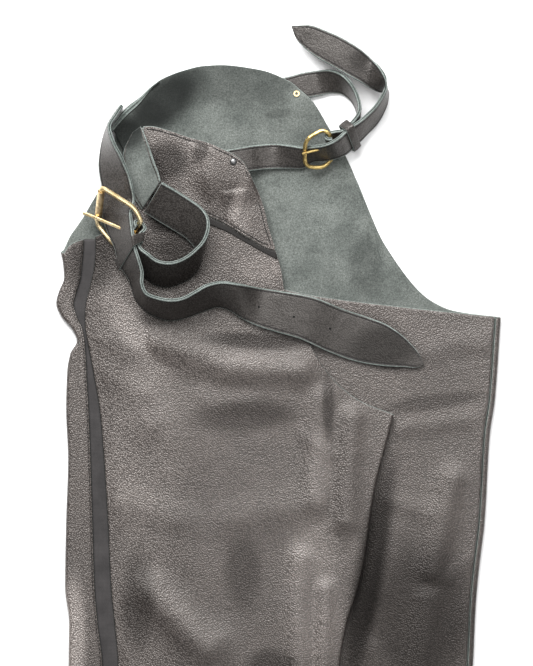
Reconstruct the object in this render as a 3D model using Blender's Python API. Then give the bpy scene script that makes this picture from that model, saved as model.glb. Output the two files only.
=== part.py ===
"""Leather chaps lying flat, folded along the centre: leg A on top, front up, leg B under it, front down.

Places are written as a cutter would measure them on the table, in millimetres: "across" grows to
the right, "down" grows from the waist to the hems, and height is measured from the table.
"""

import math

import bpy
import numpy as np

MM = 0.001

# Driving dimensions, in millimetres.
CENTRE_ACROSS = 278.8
CENTRE_DOWN = 610.0
HEM_A = 1195.0
HEM_B = 1098.0
LEATHER = 1.6
TAPE = 1.0
GAP = 0.3
TAIL = 2.0
LAYER_STEP = LEATHER + 0.45
STEP_OUT = 83.0
STEP_FADE = 79.0
INSEAM_PUFF_START = 380.0
INSEAM_PUFF_FADE = 50.0
ZIP_ROOM = TAPE + 1.0
ZIP_REACH = 14.0
ZIP_FADE = 45.0
FOLD_PUFF = 2.6
FOLD_PUFF_WIDE = 15.0
STRIP_PUFF = 1.2
STRIP_PUFF_WIDE = 9.0
STRAP = 3.6
BELT_WIDTH = 38.0
BILLET_WIDTH = 25.0
BIG_WIRE = 5.0
SMALL_WIRE = 4.2
RIVET = 7.0
RIVET_HIGH = 1.9
RING_RIVET = (6.0, 3.0, 0.8)

# Outlines of leg A. Each row is a level down the leg.
#        down   fold  strip  zip_edge
OUTSEAM_A = (
    (250.0, 61.0, 84.0, 95.5),
    (264.0, 64.0, 82.5, 94.5),
    (278.0, 65.0, 81.0, 92.0),
    (291.0, 60.0, 77.0, 89.0),
    (303.0, 57.0, 74.0, 86.0),
    (316.0, 62.0, 77.0, 85.0),
    (329.0, 73.0, 83.0, 85.5),
    (341.0, 78.0, 85.0, 87.5),
    (354.0, 71.0, 86.0, 90.0),
    (373.0, 68.0, 87.0, 93.5),
    (409.0, 67.0, 89.0, 99.6),
    (459.0, 69.0, 91.0, 104.0),
    (523.0, 67.0, 93.0, 108.0),
    (587.0, 66.0, 95.0, 111.0),
    (622.0, 70.0, 98.0, 114.5),
    (666.0, 69.5, 103.0, 118.0),
    (760.0, 71.0, 104.0, 118.0),
    (900.0, 74.0, 107.0, 121.0),
    (1050.0, 80.0, 113.0, 127.0),
    (HEM_A, 86.0, 119.0, 133.0),
)
#        down   fold
INSEAM_A = (
    (414.0, 393.0),
    (434.0, 388.0),
    (485.0, 375.0),
    (515.0, 370.0),
    (560.0, 364.0),
    (597.0, 355.0),
    (620.0, 347.0),
    (666.0, 339.0),
    (760.0, 335.0),
    (900.0, 330.0),
    (1050.0, 324.0),
    (HEM_A, 320.0),
)
#        across  down
WAIST_A = (
    (95.0, 236.5),
    (105.0, 232.0),
    (118.0, 205.0),
    (130.0, 165.0),
    (142.0, 128.0),
    (150.0, 127.5),
    (170.0, 132.0),
    (188.0, 138.0),
    (206.0, 143.0),
    (220.0, 149.0),
    (234.0, 156.0),
    (244.0, 164.0),
    (248.0, 171.0),
    (257.0, 190.0),
    (264.0, 209.0),
    (269.0, 230.0),
    (276.0, 252.0),
    (282.0, 273.0),
    (284.0, 288.0),
    (308.0, 341.0),
    (327.0, 372.0),
    (339.0, 385.0),
    (360.0, 401.0),
    (393.0, 414.0),
)
BACK_TOP_A = (
    (60.0, 250.0),
    (75.0, 229.0),
    (84.0, 216.0),
    (90.0, 205.5),
    (101.5, 189.0),
    (113.0, 183.0),
    (130.0, 190.0),
    (160.0, 225.0),
    (200.0, 300.0),
    (260.0, 360.0),
    (330.0, 395.0),
    (393.0, 414.0),
)
STRIP_TOP_A = ((61.0, 253.0), (73.0, 243.0), (84.0, 239.0), (105.0, 236.0))

# Outlines of leg B, the one below.
#        down   fold  strip  zip_edge
OUTSEAM_B = (
    (128.0, 112.0, 113.0, 112.5),
    (180.0, 130.0, 137.0, 140.0),
    (240.0, 162.0, 174.0, 188.0),
    (317.0, 174.0, 188.0, 202.0),
    (418.0, 188.0, 206.0, 220.0),
    (569.0, 208.0, 232.0, 246.0),
    (666.0, 207.0, 236.0, 250.0),
    (803.0, 205.0, 236.0, 250.0),
    (953.0, 204.0, 236.0, 250.0),
    (HEM_B, 200.0, 233.0, 247.0),
)
#        down   fold
INSEAM_B = (
    (317.0, 500.0),
    (400.0, 494.0),
    (434.0, 489.0),
    (519.0, 484.0),
    (570.0, 478.0),
    (604.0, 475.0),
    (666.0, 472.0),
    (803.0, 461.0),
    (953.0, 448.0),
    (HEM_B, 434.0),
)
#        across  down
WAIST_B = (
    (112.0, 128.0),
    (125.0, 109.0),
    (140.0, 97.0),
    (152.0, 86.0),
    (162.0, 79.0),
    (182.0, 71.0),
    (203.0, 66.0),
    (220.0, 65.0),
    (260.0, 70.0),
    (290.0, 82.0),
    (300.0, 90.0),
    (313.0, 102.0),
    (330.0, 130.0),
    (345.0, 155.0),
    (385.0, 245.0),
    (430.0, 300.0),
    (455.0, 311.0),
    (500.0, 317.0),
)
BACK_TOP_B = (
    (174.0, 205.0),
    (190.0, 197.0),
    (215.0, 215.0),
    (245.0, 255.0),
    (283.0, 288.0),
    (300.0, 293.0),
    (322.0, 297.0),
    (440.0, 311.0),
    (500.0, 317.0),
)

# Lower edges of what lies on the panels.
#        across  down
YOKE_BOTTOM_A = (
    (143.0, 196.0),
    (180.0, 204.0),
    (210.5, 217.0),
    (227.0, 225.0),
    (248.0, 238.0),
    (267.0, 248.0),
    (276.0, 250.5),
)
BAND_BOTTOM_A = (
    (150.0, 207.0),
    (180.0, 212.0),
    (211.0, 225.5),
    (227.0, 232.0),
    (243.0, 241.0),
    (259.0, 250.0),
    (277.5, 260.0),
)
YOKE_BOTTOM_B = (
    (120.0, 170.0),
    (170.0, 165.0),
    (215.0, 155.0),
    (260.0, 152.0),
    (300.0, 158.0),
    (352.0, 173.0),
)
FAR_YOKE_GAP = 0.9
FAR_YOKE_REACH = 4.0
FAR_YOKE_FADE = 30.0
YOKE_STEP = LEATHER + 0.4
SEAM_GAP = 0.8
TAPE_GAP = 0.7
TAPE_TOP_A = 239.0
TAPE_TOP_B = 214.0
TAPE_UNDER_STRIP = 5.0
TAPE_UNDER_FRONT = 8.0
TAPE_SHORT = 1.0
STRIP_TOP_B = 209.0
FOLD_TOP_A = (250.0, 253.0)
SLIDER_GAP = 0.7

# Soft ridges: from one end to the other, how wide, how high.
#     across  down  across  down   half   high
RIDGES_A = (
    (160.0, 342.0, 230.0, 367.0, 16.0, 4.5),
    (230.0, 367.0, 300.0, 370.0, 16.0, 5.0),
    (112.0, 300.0, 150.0, 420.0, 24.0, 3.0),
    (320.0, 400.0, 316.0, 500.0, 14.0, 3.0),
    (352.0, 418.0, 346.0, 520.0, 12.0, 4.0),
    (150.0, 592.0, 206.0, 648.0, 17.0, 5.0),
    (300.0, 560.0, 296.0, 760.0, 12.0, 3.0),
    (325.0, 590.0, 321.0, 800.0, 9.0, 3.0),
    (140.0, 840.0, 215.0, 905.0, 19.0, 4.0),
    (245.0, 965.0, 300.0, 900.0, 17.0, 4.0),
    (140.0, 1075.0, 235.0, 1100.0, 16.0, 3.0),
)
RIDGES_B = (
    (452.0, 480.0, 432.0, 570.0, 13.0, 4.0),
    (428.0, 600.0, 416.0, 690.0, 14.0, 3.0),
    (380.0, 800.0, 430.0, 860.0, 16.0, 4.0),
    (365.0, 1000.0, 410.0, 960.0, 15.0, 3.0),
)
RIDGES_YOKE = ((238.0, 198.0, 243.0, 236.0, 11.0, 2.2),)
#    across  down  across  down   flat  fade  high
STRAP_BUMP = (228.0, 163.0, 262.0, 157.0, 15.5, 16.0, 5.4)
RIDGES_FAR = (
    (104.0, 122.0, 112.0, 130.0, 30.0, 8.0),
    (275.0, 93.0, 306.0, 88.0, 27.0, 5.6),
)

# Straps on edge: the upper edge, the lower edge, and how far the lower edge is held up over what
# it would lie on. The upper edge's height follows from the strap's width.
#  high_across high_down  low_across low_down  lift  width
BELT_ROWS = (
    (123.0, 106.5, 121.5, 106.0, 0.0, 38.0),
    (116.5, 116.5, 114.5, 115.0, 0.0, 38.0),
    (110.5, 127.0, 108.0, 126.5, 0.0, 38.0),
    (112.0, 136.0, 104.5, 136.0, 1.5, 38.0),
    (116.5, 147.0, 102.0, 146.0, 2.5, 38.0),
    (121.5, 156.0, 100.5, 155.0, 3.5, 38.0),
    (126.0, 166.0, 99.5, 164.0, 4.5, 38.0),
    (130.5, 177.0, 100.5, 176.0, 5.5, 38.0),
    (133.0, 187.0, 102.5, 187.0, 6.2, 38.0),
    (135.0, 201.0, 102.0, 211.0, 5.0, 38.0),
    (132.0, 213.0, 108.0, 232.0, 6.0, 38.0),
    (133.0, 225.0, 116.0, 249.0, 10.8, 38.0),
    (134.5, 237.0, 118.5, 259.0, 10.0, 38.0),
    (136.0, 247.0, 122.5, 268.0, 7.2, 38.0),
    (140.0, 260.0, 129.5, 279.0, 4.0, 38.0),
    (143.0, 271.0, 132.5, 287.0, 0.0, 38.0),
    (143.0, 284.0, 137.0, 300.0, 0.0, 38.0),
    (147.5, 293.5, 147.0, 311.0, 0.0, 38.0),
    (157.0, 297.5, 158.0, 317.0, 0.0, 38.0),
    (171.0, 300.0, 172.0, 320.0, 0.0, 38.0),
    (184.0, 298.0, 187.0, 317.0, 0.0, 38.0),
    (196.0, 291.5, 202.0, 311.5, 0.0, 38.0),
    (208.0, 285.0, 218.0, 307.0, 1.0, 38.0),
    (222.0, 282.0, 231.0, 311.0, 1.5, 38.0),
    (239.0, 284.0, 241.0, 318.0, 1.6, 38.0),
    (260.0, 288.0, 257.0, 326.0, 1.6, 38.0),
    (283.5, 291.7, 276.0, 332.0, 1.6, 38.0),
    (312.0, 297.0, 300.0, 339.0, 2.4, 38.0),
    (343.0, 309.0, 330.0, 352.5, 2.0, 38.0),
    (370.0, 318.0, 358.0, 362.0, 0.0, 38.0),
    (389.0, 326.0, 383.0, 366.0, 0.0, 38.0),
    (408.0, 341.0, 404.0, 367.0, 0.0, 26.3),
    (421.0, 358.0, 419.0, 367.0, 0.0, 9.2),
)
YOKE_END_ROWS = (
    (141.0, 127.0, 133.0, 133.0, 1.0, 10.0),
    (147.0, 140.0, 124.0, 152.0, 4.5, 27.0),
    (151.0, 151.0, 124.0, 168.0, 4.0, 34.0),
    (155.0, 163.0, 128.0, 184.0, 1.0, 37.0),
    (159.0, 173.5, 135.0, 199.0, 0.2, 38.0),
    (161.0, 181.5, 142.0, 210.0, 0.2, 38.0),
)
BUCKLE_STRAP_ROWS = (
    (162.5, 183.0, 144.5, 212.5, 3.0, 38.0),
    (178.0, 192.0, 160.0, 222.0, 1.6, 38.0),
    (192.0, 201.0, 175.0, 231.0, 1.4, 38.0),
    (202.0, 208.5, 187.0, 239.0, 1.2, 38.0),
    (208.0, 218.0, 196.0, 249.0, 1.0, 38.0),
    (208.5, 229.0, 200.0, 259.0, 1.0, 38.0),
    (204.5, 240.0, 197.5, 269.0, 1.0, 38.0),
    (196.0, 250.0, 190.0, 278.0, 1.0, 38.0),
    (184.0, 259.0, 179.0, 284.0, 1.0, 38.0),
    (171.0, 263.0, 167.0, 287.0, 1.0, 38.0),
    (158.0, 261.0, 154.0, 284.0, 1.5, 38.0),
    (149.0, 254.5, 143.5, 276.0, 3.0, 38.0),
)
BILLET_ROWS = (
    (226.0, 150.5, 229.0, 175.0, 0.0, 24.7),
    (240.0, 148.0, 242.0, 173.0, 0.8, 25.1),
    (249.5, 146.3, 251.5, 171.3, 5.8, 25.1),
    (260.0, 145.0, 261.0, 170.0, 2.4, 25.0),
    (275.0, 144.0, 275.0, 169.0, 0.0, 25.0),
    (290.0, 145.5, 290.0, 168.5, 0.0, 25.0),
    (303.0, 147.5, 303.0, 168.0, 0.0, 25.0),
    (313.0, 147.0, 313.0, 161.5, 0.5, 25.0),
    (322.0, 146.0, 325.0, 160.5, 3.5, 25.0),
    (331.0, 143.0, 336.0, 158.5, 9.2, 25.0),
    (338.5, 138.0, 345.0, 155.0, 8.0, 25.0),
    (345.0, 132.0, 352.0, 149.0, 7.2, 25.0),
    (352.0, 126.5, 358.5, 143.0, 6.6, 25.0),
    (360.0, 121.0, 366.5, 134.5, 3.4, 25.0),
    (368.0, 114.0, 377.0, 123.0, 0.0, 25.0),
    (375.0, 107.0, 383.0, 112.5, 0.0, 25.0),
    (381.0, 98.0, 387.0, 100.5, 0.0, 25.0),
    (385.0, 89.0, 386.5, 90.5, 4.0, 25.0),
    (385.5, 81.0, 381.0, 92.0, 9.0, 25.0),
    (380.5, 70.0, 372.0, 89.5, 14.0, 25.0),
    (372.0, 60.5, 360.0, 83.0, 17.5, 25.0),
    (360.0, 50.0, 346.5, 75.5, 18.5, 25.0),
    (347.5, 42.0, 333.5, 68.0, 18.0, 25.0),
    (328.0, 32.5, 314.0, 56.5, 16.5, 25.0),
    (309.0, 26.0, 302.0, 46.5, 14.5, 21.7),
    (295.0, 26.5, 294.5, 36.0, 13.0, 9.5),
)
SHORT_STRAP_ROWS = (
    (278.0, 79.0, 281.0, 104.0, 1.7, 25.0),
    (291.0, 76.0, 295.0, 101.0, 1.6, 25.0),
    (302.0, 73.0, 308.0, 98.0, 1.6, 25.0),
    (316.0, 71.0, 320.0, 96.0, 0.6, 25.0),
    (331.0, 70.5, 332.0, 93.0, 0.0, 25.0),
    (342.0, 75.0, 342.0, 93.5, 0.0, 25.0),
    (350.0, 83.0, 349.0, 98.0, 0.0, 25.0),
    (355.0, 91.5, 354.0, 104.0, 0.0, 25.0),
    (358.5, 101.0, 357.0, 110.5, 0.5, 25.0),
    (359.5, 109.0, 358.5, 118.5, 2.0, 25.0),
)

# Buckles: places on their frames, and the sizes of what is on them.
#                    across  down  height
ROLLER_LOW_CORNER = (97.6, 224.5, 8.8)
ROLLER_HIGH_CORNER = (102.9, 188.0, 41.0)
BIG_BEND_HIGH = (136.0, 209.0, 43.0)
BIG_BEND_LOW = (113.0, 243.0, 13.8)
BIG_CORNERS = (4.5, 4.5, 7.0, 3.0, 3.0, 7.0)
BIG_TONGUE = 3.4
BIG_TONGUE_PAST = 11.0
BIG_TONGUE_PLACE = 0.1
BIG_TONGUE_UP = 7.0
SMALL_TONGUE = 2.4
SMALL_TONGUE_PAST = 3.0
SMALL_FRAME = (
    (322.0, 131.0, 30.0),
    (305.0, 140.5, 30.0),
    (304.5, 167.5, 15.8),
    (325.0, 168.0, 12.0),
)
SMALL_CORNERS = (2.5, 2.5, 8.0, 11.0, 11.0, 8.0)
ROLLER_SPAN = (0.14, 0.89)
ROLLER_WIDE = 7.4
HEEL_SLACK = 0.9
HEEL_RUN = 5.0
HEEL_TAIL = 1.5
SLOT_SLACK = 1.7
HOOK_STEPS = 8
HOOK_TURN = (-150.0, 70.0)
BIG_HALF_BAR = 22.5
BIG_HEEL_ROW = 11
BIG_KEEPER_ROWS = (12, 13)
BIG_INNER = (8.4, 5.6)
SMALL_HALF_BAR = 15.5
SMALL_HEEL_ROW = 9
SMALL_KEEPER_ROWS = (11, 12)
SMALL_INNER = (4.4, 4.4)
KEEPER_WALL = 1.8
KEEPER_SLACK = 2.0
KEEPER_EDGE = 1.3

# Zip sliders: how far they stand from the hem, and their sizes.
SLIDER_UP_FROM_HEM = 42.0
SLIDER_WIDE = 9.0
SLIDER_LONG = 11.0
SLIDER_HIGH = 2.6
LUG_WIDE = 1.2
LUG_LONG = 3.2
LUG_HIGH = 4.2
LUG_SUNK = 0.8
PIN_WIDE = 1.5
PIN_STAND = 2.3
PULL_LONG = 26.0
PULL_WIDE = 4.4
PULL_THICK = 1.2
EYE_WALL = 0.75
EYE_REACH = 150.0
SLIDER_BUMP = 7.5
SLIDER_BUMP_WIDE = 115.0

RIVET_A = (233.4, 162.3)
RIVET_B = (296.5, 94.0)


def smooth(t):
    """A soft step from 0 at t = 0 to 1 at t = 1."""
    t = min(max(t, 0.0), 1.0)
    return 0.5 - 0.5 * math.cos(math.pi * t)


def read(table, key, column=1):
    """The value of a table's column at a key, held past its ends."""
    return float(np.interp(key, [row[0] for row in table], [row[column] for row in table]))


def place_of(row):
    """A place on the table in the millimetres of the model's frame."""
    across, down, height = row
    return np.array([across - CENTRE_ACROSS, CENTRE_DOWN - down, height])


def world(across, down, height):
    """A place on the table as a point in metres."""
    return place_of((across, down, height)) * MM


def ridge_height(ridges, across, down):
    """The height that the soft ridges of a panel add at a place."""
    total = 0.0
    for x0, y0, x1, y1, half, high in ridges:
        run = np.array([x1 - x0, y1 - y0])
        place = np.array([across - x0, down - y0])
        along = float(np.clip(place @ run / (run @ run), 0.0, 1.0))
        off = np.linalg.norm(place - along * run) / half
        total = max(total, high * math.exp(-off * off))
    return total


def outseam_a(down):
    return read(OUTSEAM_A, down)


def outseam_b(down):
    return read(OUTSEAM_B, down)


def inseam_a(down):
    return read(INSEAM_A, down)


def inseam_b(down):
    return read(INSEAM_B, down)


# Levels: the height of the middle of each layer.


def slider_b_place():
    down = HEM_B - SLIDER_UP_FROM_HEM
    return (read(OUTSEAM_B, down, 2) + read(OUTSEAM_B, down, 3)) / 2, down


def slider_a_place():
    down = HEM_A - SLIDER_UP_FROM_HEM
    return (read(OUTSEAM_A, down, 2) + read(OUTSEAM_A, down, 3)) / 2, down


def slider_bump(across, down):
    """Leg B stands clear of its zip slider."""
    x, y = slider_b_place()
    off = math.hypot(across - x, down - y) / SLIDER_BUMP_WIDE
    return SLIDER_BUMP * math.exp(-off * off)


def under_far_yoke(across, down):
    """How far leg B's front is lifted by the yoke that lies under it."""
    past = down - read(YOKE_BOTTOM_B, across) - FAR_YOKE_REACH
    return (LEATHER + FAR_YOKE_GAP) * (1.0 - smooth(past / FAR_YOKE_FADE))


def front_b(across, down):
    lift = under_far_yoke(across, down) + ridge_height(RIDGES_FAR, across, down)
    return LEATHER / 2 + lift + slider_bump(across, down)


def zip_room(table, across, down):
    """Room between the two layers beside the zip."""
    past = across - read(table, down, 3) - ZIP_REACH
    return ZIP_ROOM * (1.0 - smooth(past / ZIP_FADE))


def back_b(across, down):
    room = zip_room(OUTSEAM_B, across, down)
    puff = FOLD_PUFF * math.exp(-max(inseam_b(down) - across, 0.0) / FOLD_PUFF_WIDE)
    ridge = ridge_height(RIDGES_B, across, down)
    return LEATHER / 2 + LAYER_STEP + slider_bump(across, down) + room + puff + ridge


def back_a(across, down):
    """Leg A's back lies on the table at the left and the hem, and on leg B elsewhere."""
    over = smooth((across - outseam_b(down) + STEP_OUT) / STEP_FADE)
    over *= smooth((HEM_B + STEP_OUT - down) / STEP_FADE)
    top_b = LEATHER + LAYER_STEP + ZIP_ROOM + GAP
    return LEATHER / 2 + over * top_b + slider_bump(across, down)


def front_a_flat(across, down):
    room = zip_room(OUTSEAM_A, across, down)
    return back_a(across, down) + LAYER_STEP + room


def front_a(across, down):
    puff = FOLD_PUFF * math.exp(-max(inseam_a(down) - across, 0.0) / FOLD_PUFF_WIDE)
    puff *= smooth((down - INSEAM_PUFF_START) / INSEAM_PUFF_FADE)
    return front_a_flat(across, down) + puff + ridge_height(RIDGES_A, across, down)


def strap_bump(across, down):
    """The yoke stands over the end of the front strap, which is sewn in under it."""
    x0, y0, x1, y1, flat, fade, high = STRAP_BUMP
    run = np.array([x1 - x0, y1 - y0])
    place = np.array([across - x0, down - y0])
    along = float(np.clip(place @ run / (run @ run), 0.0, 1.0))
    return high * (1.0 - smooth((np.linalg.norm(place - along * run) - flat) / fade))


def yoke_a(across, down):
    ridge = max(ridge_height(RIDGES_YOKE, across, down), strap_bump(across, down))
    return front_a_flat(across, down) + YOKE_STEP + ridge


def inside_a(across, down):
    if not WAIST_A[0][0] <= across <= WAIST_A[-1][0]:
        return False
    if down < read(WAIST_A, across) or down > HEM_A:
        return False
    return read(OUTSEAM_A, down, 3) <= across <= read(INSEAM_A, down)


def surface(across, down, yoke=True):
    """The height of the top of whatever panel is uppermost at a place."""
    height = 0.0
    if WAIST_B[0][0] <= across <= WAIST_B[-1][0] and read(WAIST_B, across) <= down <= HEM_B:
        height = front_b(across, down) + LEATHER / 2
        inside = read(OUTSEAM_B, down) <= across <= read(INSEAM_B, down)
        if inside and down >= read(BACK_TOP_B, across):
            height = back_b(across, down) + LEATHER / 2
    on_back = BACK_TOP_A[0][0] <= across <= BACK_TOP_A[-1][0]
    if on_back and read(BACK_TOP_A, across) <= down:
        height = back_a(across, down) + LEATHER / 2
    if inside_a(across, down):
        height = front_a(across, down) + LEATHER / 2
        beside = YOKE_BOTTOM_A[0][0] < across < YOKE_BOTTOM_A[-1][0]
        if yoke and beside and down < read(YOKE_BOTTOM_A, across):
            height = yoke_a(across, down) + LEATHER / 2
    return height


# Shapes.


def material(name, colour, roughness, metallic=0.0):
    made = bpy.data.materials.new(name)
    made.use_nodes = True
    shader = made.node_tree.nodes["Principled BSDF"]
    shader.inputs["Base Color"].default_value = (*colour, 1.0)
    shader.inputs["Roughness"].default_value = roughness
    shader.inputs["Metallic"].default_value = metallic
    return made


def add_object(name, points, faces, finish):
    """One named object from points in metres."""
    mesh = bpy.data.meshes.new(name)
    mesh.from_pydata([tuple(point) for point in points], [], faces)
    mesh.validate()
    mesh.materials.append(finish)
    mesh.shade_smooth()
    mesh.set_sharp_from_angle(angle=math.radians(40))
    made = bpy.data.objects.new(name, mesh)
    bpy.context.scene.collection.objects.link(made)
    return made


def directions(grid, axis):
    """The way on along an axis at each point: the mean of the unit steps before and after."""
    steps = np.diff(grid, axis=axis)
    steps = steps / np.linalg.norm(steps, axis=2, keepdims=True)
    first, last = np.take(steps, [0], axis=axis), np.take(steps, [-1], axis=axis)
    return np.concatenate([first, steps], axis=axis) + np.concatenate([steps, last], axis=axis)


def grid_normals(grid):
    """The unit normal at each point of a grid of points, rows by columns."""
    along, aside = directions(grid, 0), directions(grid, 1)
    normal = np.cross(aside, along)
    return normal / np.linalg.norm(normal, axis=2, keepdims=True)


def closed_shell(first, second):
    """Points and faces of the solid between two grids; the first one faces outward."""
    rows, columns = first.shape[:2]
    points = np.concatenate([first.reshape(-1, 3), second.reshape(-1, 3)])
    offset = rows * columns

    def at(side, row, column):
        return side * offset + row * columns + column

    faces = []
    for row in range(rows - 1):
        for column in range(columns - 1):
            corners = [(row, column), (row, column + 1), (row + 1, column + 1), (row + 1, column)]
            faces.append([at(0, *corner) for corner in corners])
            faces.append([at(1, *corner) for corner in reversed(corners)])
    border = [(0, column) for column in range(columns)]
    border += [(row, columns - 1) for row in range(1, rows)]
    border += [(rows - 1, column) for column in reversed(range(columns - 1))]
    border += [(row, 0) for row in reversed(range(1, rows - 1))]
    for here, after in zip(border, border[1:] + border[:1]):
        faces.append([at(0, *here), at(1, *here), at(1, *after), at(0, *after)])
    return points, faces


def facing_out(points, faces):
    """The faces, turned over if they face inward."""
    volume = 0.0
    for face in faces:
        for second, third in zip(face[1:], face[2:]):
            volume += float(np.dot(points[face[0]], np.cross(points[second], points[third])))
    return faces if volume > 0 else [face[::-1] for face in faces]


def add_sheet(name, columns, thickness, finish):
    """A wall of even thickness whose middle runs through columns of points."""
    grid = np.array(columns).transpose(1, 0, 2)
    half = grid_normals(grid) * thickness * MM / 2
    points, faces = closed_shell(grid + half, grid - half)
    return add_object(name, points, facing_out(points, faces), finish)


def spread(count, start=0.0, end=1.0):
    return [start + (end - start) * index / (count - 1) for index in range(count)]


def levels_down(table_levels, top, hem):
    """The reference levels, squeezed so that a column starts at its own top."""
    first, last = table_levels[0], table_levels[-1]
    return [top + (level - first) / (last - first) * (hem - top) for level in table_levels]


def flat_column(share, left, right, top_of, level_of, hem, reference):
    """One column of a panel: a fixed share of the way between its two sides."""
    top = top_of(left(0) + share * (right(0) - left(0)))
    for _ in range(30):
        top = 0.5 * top + 0.5 * top_of(left(top) + share * (right(top) - left(top)))
    column = []
    for down in levels_down(reference, top, hem):
        across = left(down) + share * (right(down) - left(down))
        column.append(world(across, down, level_of(across, down)))
    return column


def arc_column(angle, fold, side, low_of, high_of, tops, hem, reference):
    """One column round a fold: 0 is under it, pi is over it, and a tail runs on past each."""
    column = []
    for down in levels_down(reference, tops, hem):
        edge = fold(down)
        low, high = low_of(edge, down), high_of(edge, down)
        radius = (high - low) / 2
        tail = TAIL if angle in (BELOW, ABOVE) else 0.0
        turn = min(max(angle, 0.0), math.pi)
        across = edge - side * (radius * (1 - math.sin(turn)) + tail)
        column.append(world(across, down, (low + high) / 2 - radius * math.cos(turn)))
    return column


def fold_half(fold, low_of, high_of):
    """The radius of a fold at a level."""
    return lambda down: (high_of(fold(down), down) - low_of(fold(down), down)) / 2


FOLD_ANGLES = (0.0, math.pi * 0.25, math.pi * 0.5, math.pi * 0.75, math.pi)
BELOW, ABOVE = -1.0, 4.0
LEVELS_FINE = (
    250, 257, 264, 271, 278, 285, 291, 297, 303, 310, 316, 322, 329, 335, 341, 348, 354, 364,
    373, 390, 409, 434, 459, 491, 523, 555, 587, 604, 622, 644, 666, 713, 760, 830, 900, 950,
    990, 1020, 1045, 1070, 1098, 1130, 1160, HEM_A,
)
LEVELS_FRONT = (
    126, 150, 175, 200, 225, 250, 273, 292, 305, 318, 331, 345, 358, 372, 388, 404, 425, 450,
    475, 500, 530, 560, 580, 600, 620, 640, 666, 700, 740, 790, 840, 880, 915, 950, 990, 1020,
    1045, 1070, 1098, 1130, 1160, HEM_A,
)
SHARES_B = (
    0.0, 0.03, 0.06, 0.1, 0.14, 0.19, 0.25, 0.32, 0.37, 0.4, 0.43, 0.46, 0.49, 0.52, 0.58, 0.66,
    0.76, 0.88, 1.0,
)
LEVELS_B = (
    66, 90, 115, 140, 170, 205, 250, 300, 350, 400, 450, 500, 550, 600, 650, 700, 780, 840,
    900, 950, 990, 1020, 1045, 1070, HEM_B,
)
LEVELS_B_LOW = LEVELS_B[5:]
SHARES_BACK_A = (0.03, 0.06, 0.09, 0.12, 0.17, 0.24, 0.33, 0.45, 0.58, 0.72, 0.86, 1.0)


def leg_a_front(finish):
    """The grain side is up; its right edge curls down round the inseam fold."""
    half = fold_half(inseam_a, back_a, front_a)
    columns = []
    for share in spread(17):
        columns.append(
            flat_column(
                share,
                lambda down: read(OUTSEAM_A, down, 3),
                lambda down: inseam_a(down) - half(down),
                lambda across: read(WAIST_A, across),
                front_a,
                HEM_A,
                LEVELS_FRONT,
            )
        )
    top = WAIST_A[-1][1]
    for angle in (*reversed(FOLD_ANGLES[:-1]), BELOW):
        columns.append(
            arc_column(angle, inseam_a, 1, back_a, front_a, top, HEM_A, LEVELS_FRONT)
        )
    return add_sheet("leg_a_front", columns, LEATHER, finish)


def strip_level_a(across, down):
    puff = STRIP_PUFF * math.exp(-max(across - outseam_a(down), 0.0) / STRIP_PUFF_WIDE)
    return back_a(across, down) + LAYER_STEP + ZIP_ROOM + puff


def leg_a_back(finish):
    """The back lies under the front, curls round the outseam fold and comes back to the zip."""
    half = fold_half(outseam_a, back_a, strip_level_a)
    columns = []
    for share in (1.0, 0.5):
        columns.append(
            flat_column(
                share,
                lambda down: outseam_a(down) + half(down),
                lambda down: read(OUTSEAM_A, down, 2),
                lambda across: read(STRIP_TOP_A, across),
                strip_level_a,
                HEM_A,
                LEVELS_FINE,
            )
        )
    for angle in reversed(FOLD_ANGLES):
        top = FOLD_TOP_A[0] + (FOLD_TOP_A[1] - FOLD_TOP_A[0]) * angle / math.pi
        columns.append(
            arc_column(angle, outseam_a, -1, back_a, strip_level_a, top, HEM_A, LEVELS_FINE)
        )
    under = fold_half(inseam_a, back_a, front_a)
    for share in SHARES_BACK_A:
        columns.append(
            flat_column(
                share,
                lambda down: outseam_a(down) + half(down),
                lambda down: inseam_a(down) - under(down) - TAIL - SEAM_GAP,
                lambda across: read(BACK_TOP_A, across),
                back_a,
                HEM_A,
                LEVELS_FINE,
            )
        )
    return add_sheet("leg_a_back", columns, LEATHER, finish)


def leg_b_front(finish):
    """The inside is up; its right edge curls up round the inseam fold."""
    half = fold_half(inseam_b, front_b, back_b)
    columns = []
    for share in SHARES_B:
        columns.append(
            flat_column(
                share,
                lambda down: read(OUTSEAM_B, down, 3),
                lambda down: inseam_b(down) - half(down),
                lambda across: read(WAIST_B, across),
                front_b,
                HEM_B,
                LEVELS_B,
            )
        )
    for angle in (*FOLD_ANGLES[1:], ABOVE):
        columns.append(
            arc_column(angle, inseam_b, 1, front_b, back_b, WAIST_B[-1][1], HEM_B, LEVELS_B)
        )
    return add_sheet("leg_b_front", columns, LEATHER, finish)


def leg_b_back(finish):
    """The grain side is up; it curls round the outseam fold and comes back to the zip below."""
    half = fold_half(outseam_b, front_b, back_b)
    columns = []
    for share in (1.0, 0.5):
        columns.append(
            flat_column(
                share,
                lambda down: outseam_b(down) + half(down),
                lambda down: read(OUTSEAM_B, down, 2),
                lambda across: STRIP_TOP_B,
                front_b,
                HEM_B,
                LEVELS_B_LOW,
            )
        )
    for angle in FOLD_ANGLES:
        columns.append(
            arc_column(angle, outseam_b, -1, front_b, back_b, STRIP_TOP_B, HEM_B, LEVELS_B_LOW)
        )
    under = fold_half(inseam_b, front_b, back_b)
    for share in spread(15, 0.04, 1.0):
        columns.append(
            flat_column(
                share,
                lambda down: outseam_b(down) + half(down),
                lambda down: inseam_b(down) - under(down) - TAIL - SEAM_GAP,
                lambda across: read(BACK_TOP_B, across),
                back_b,
                HEM_B,
                LEVELS_B_LOW,
            )
        )
    return add_sheet("leg_b_back", columns, LEATHER, finish)


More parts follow.
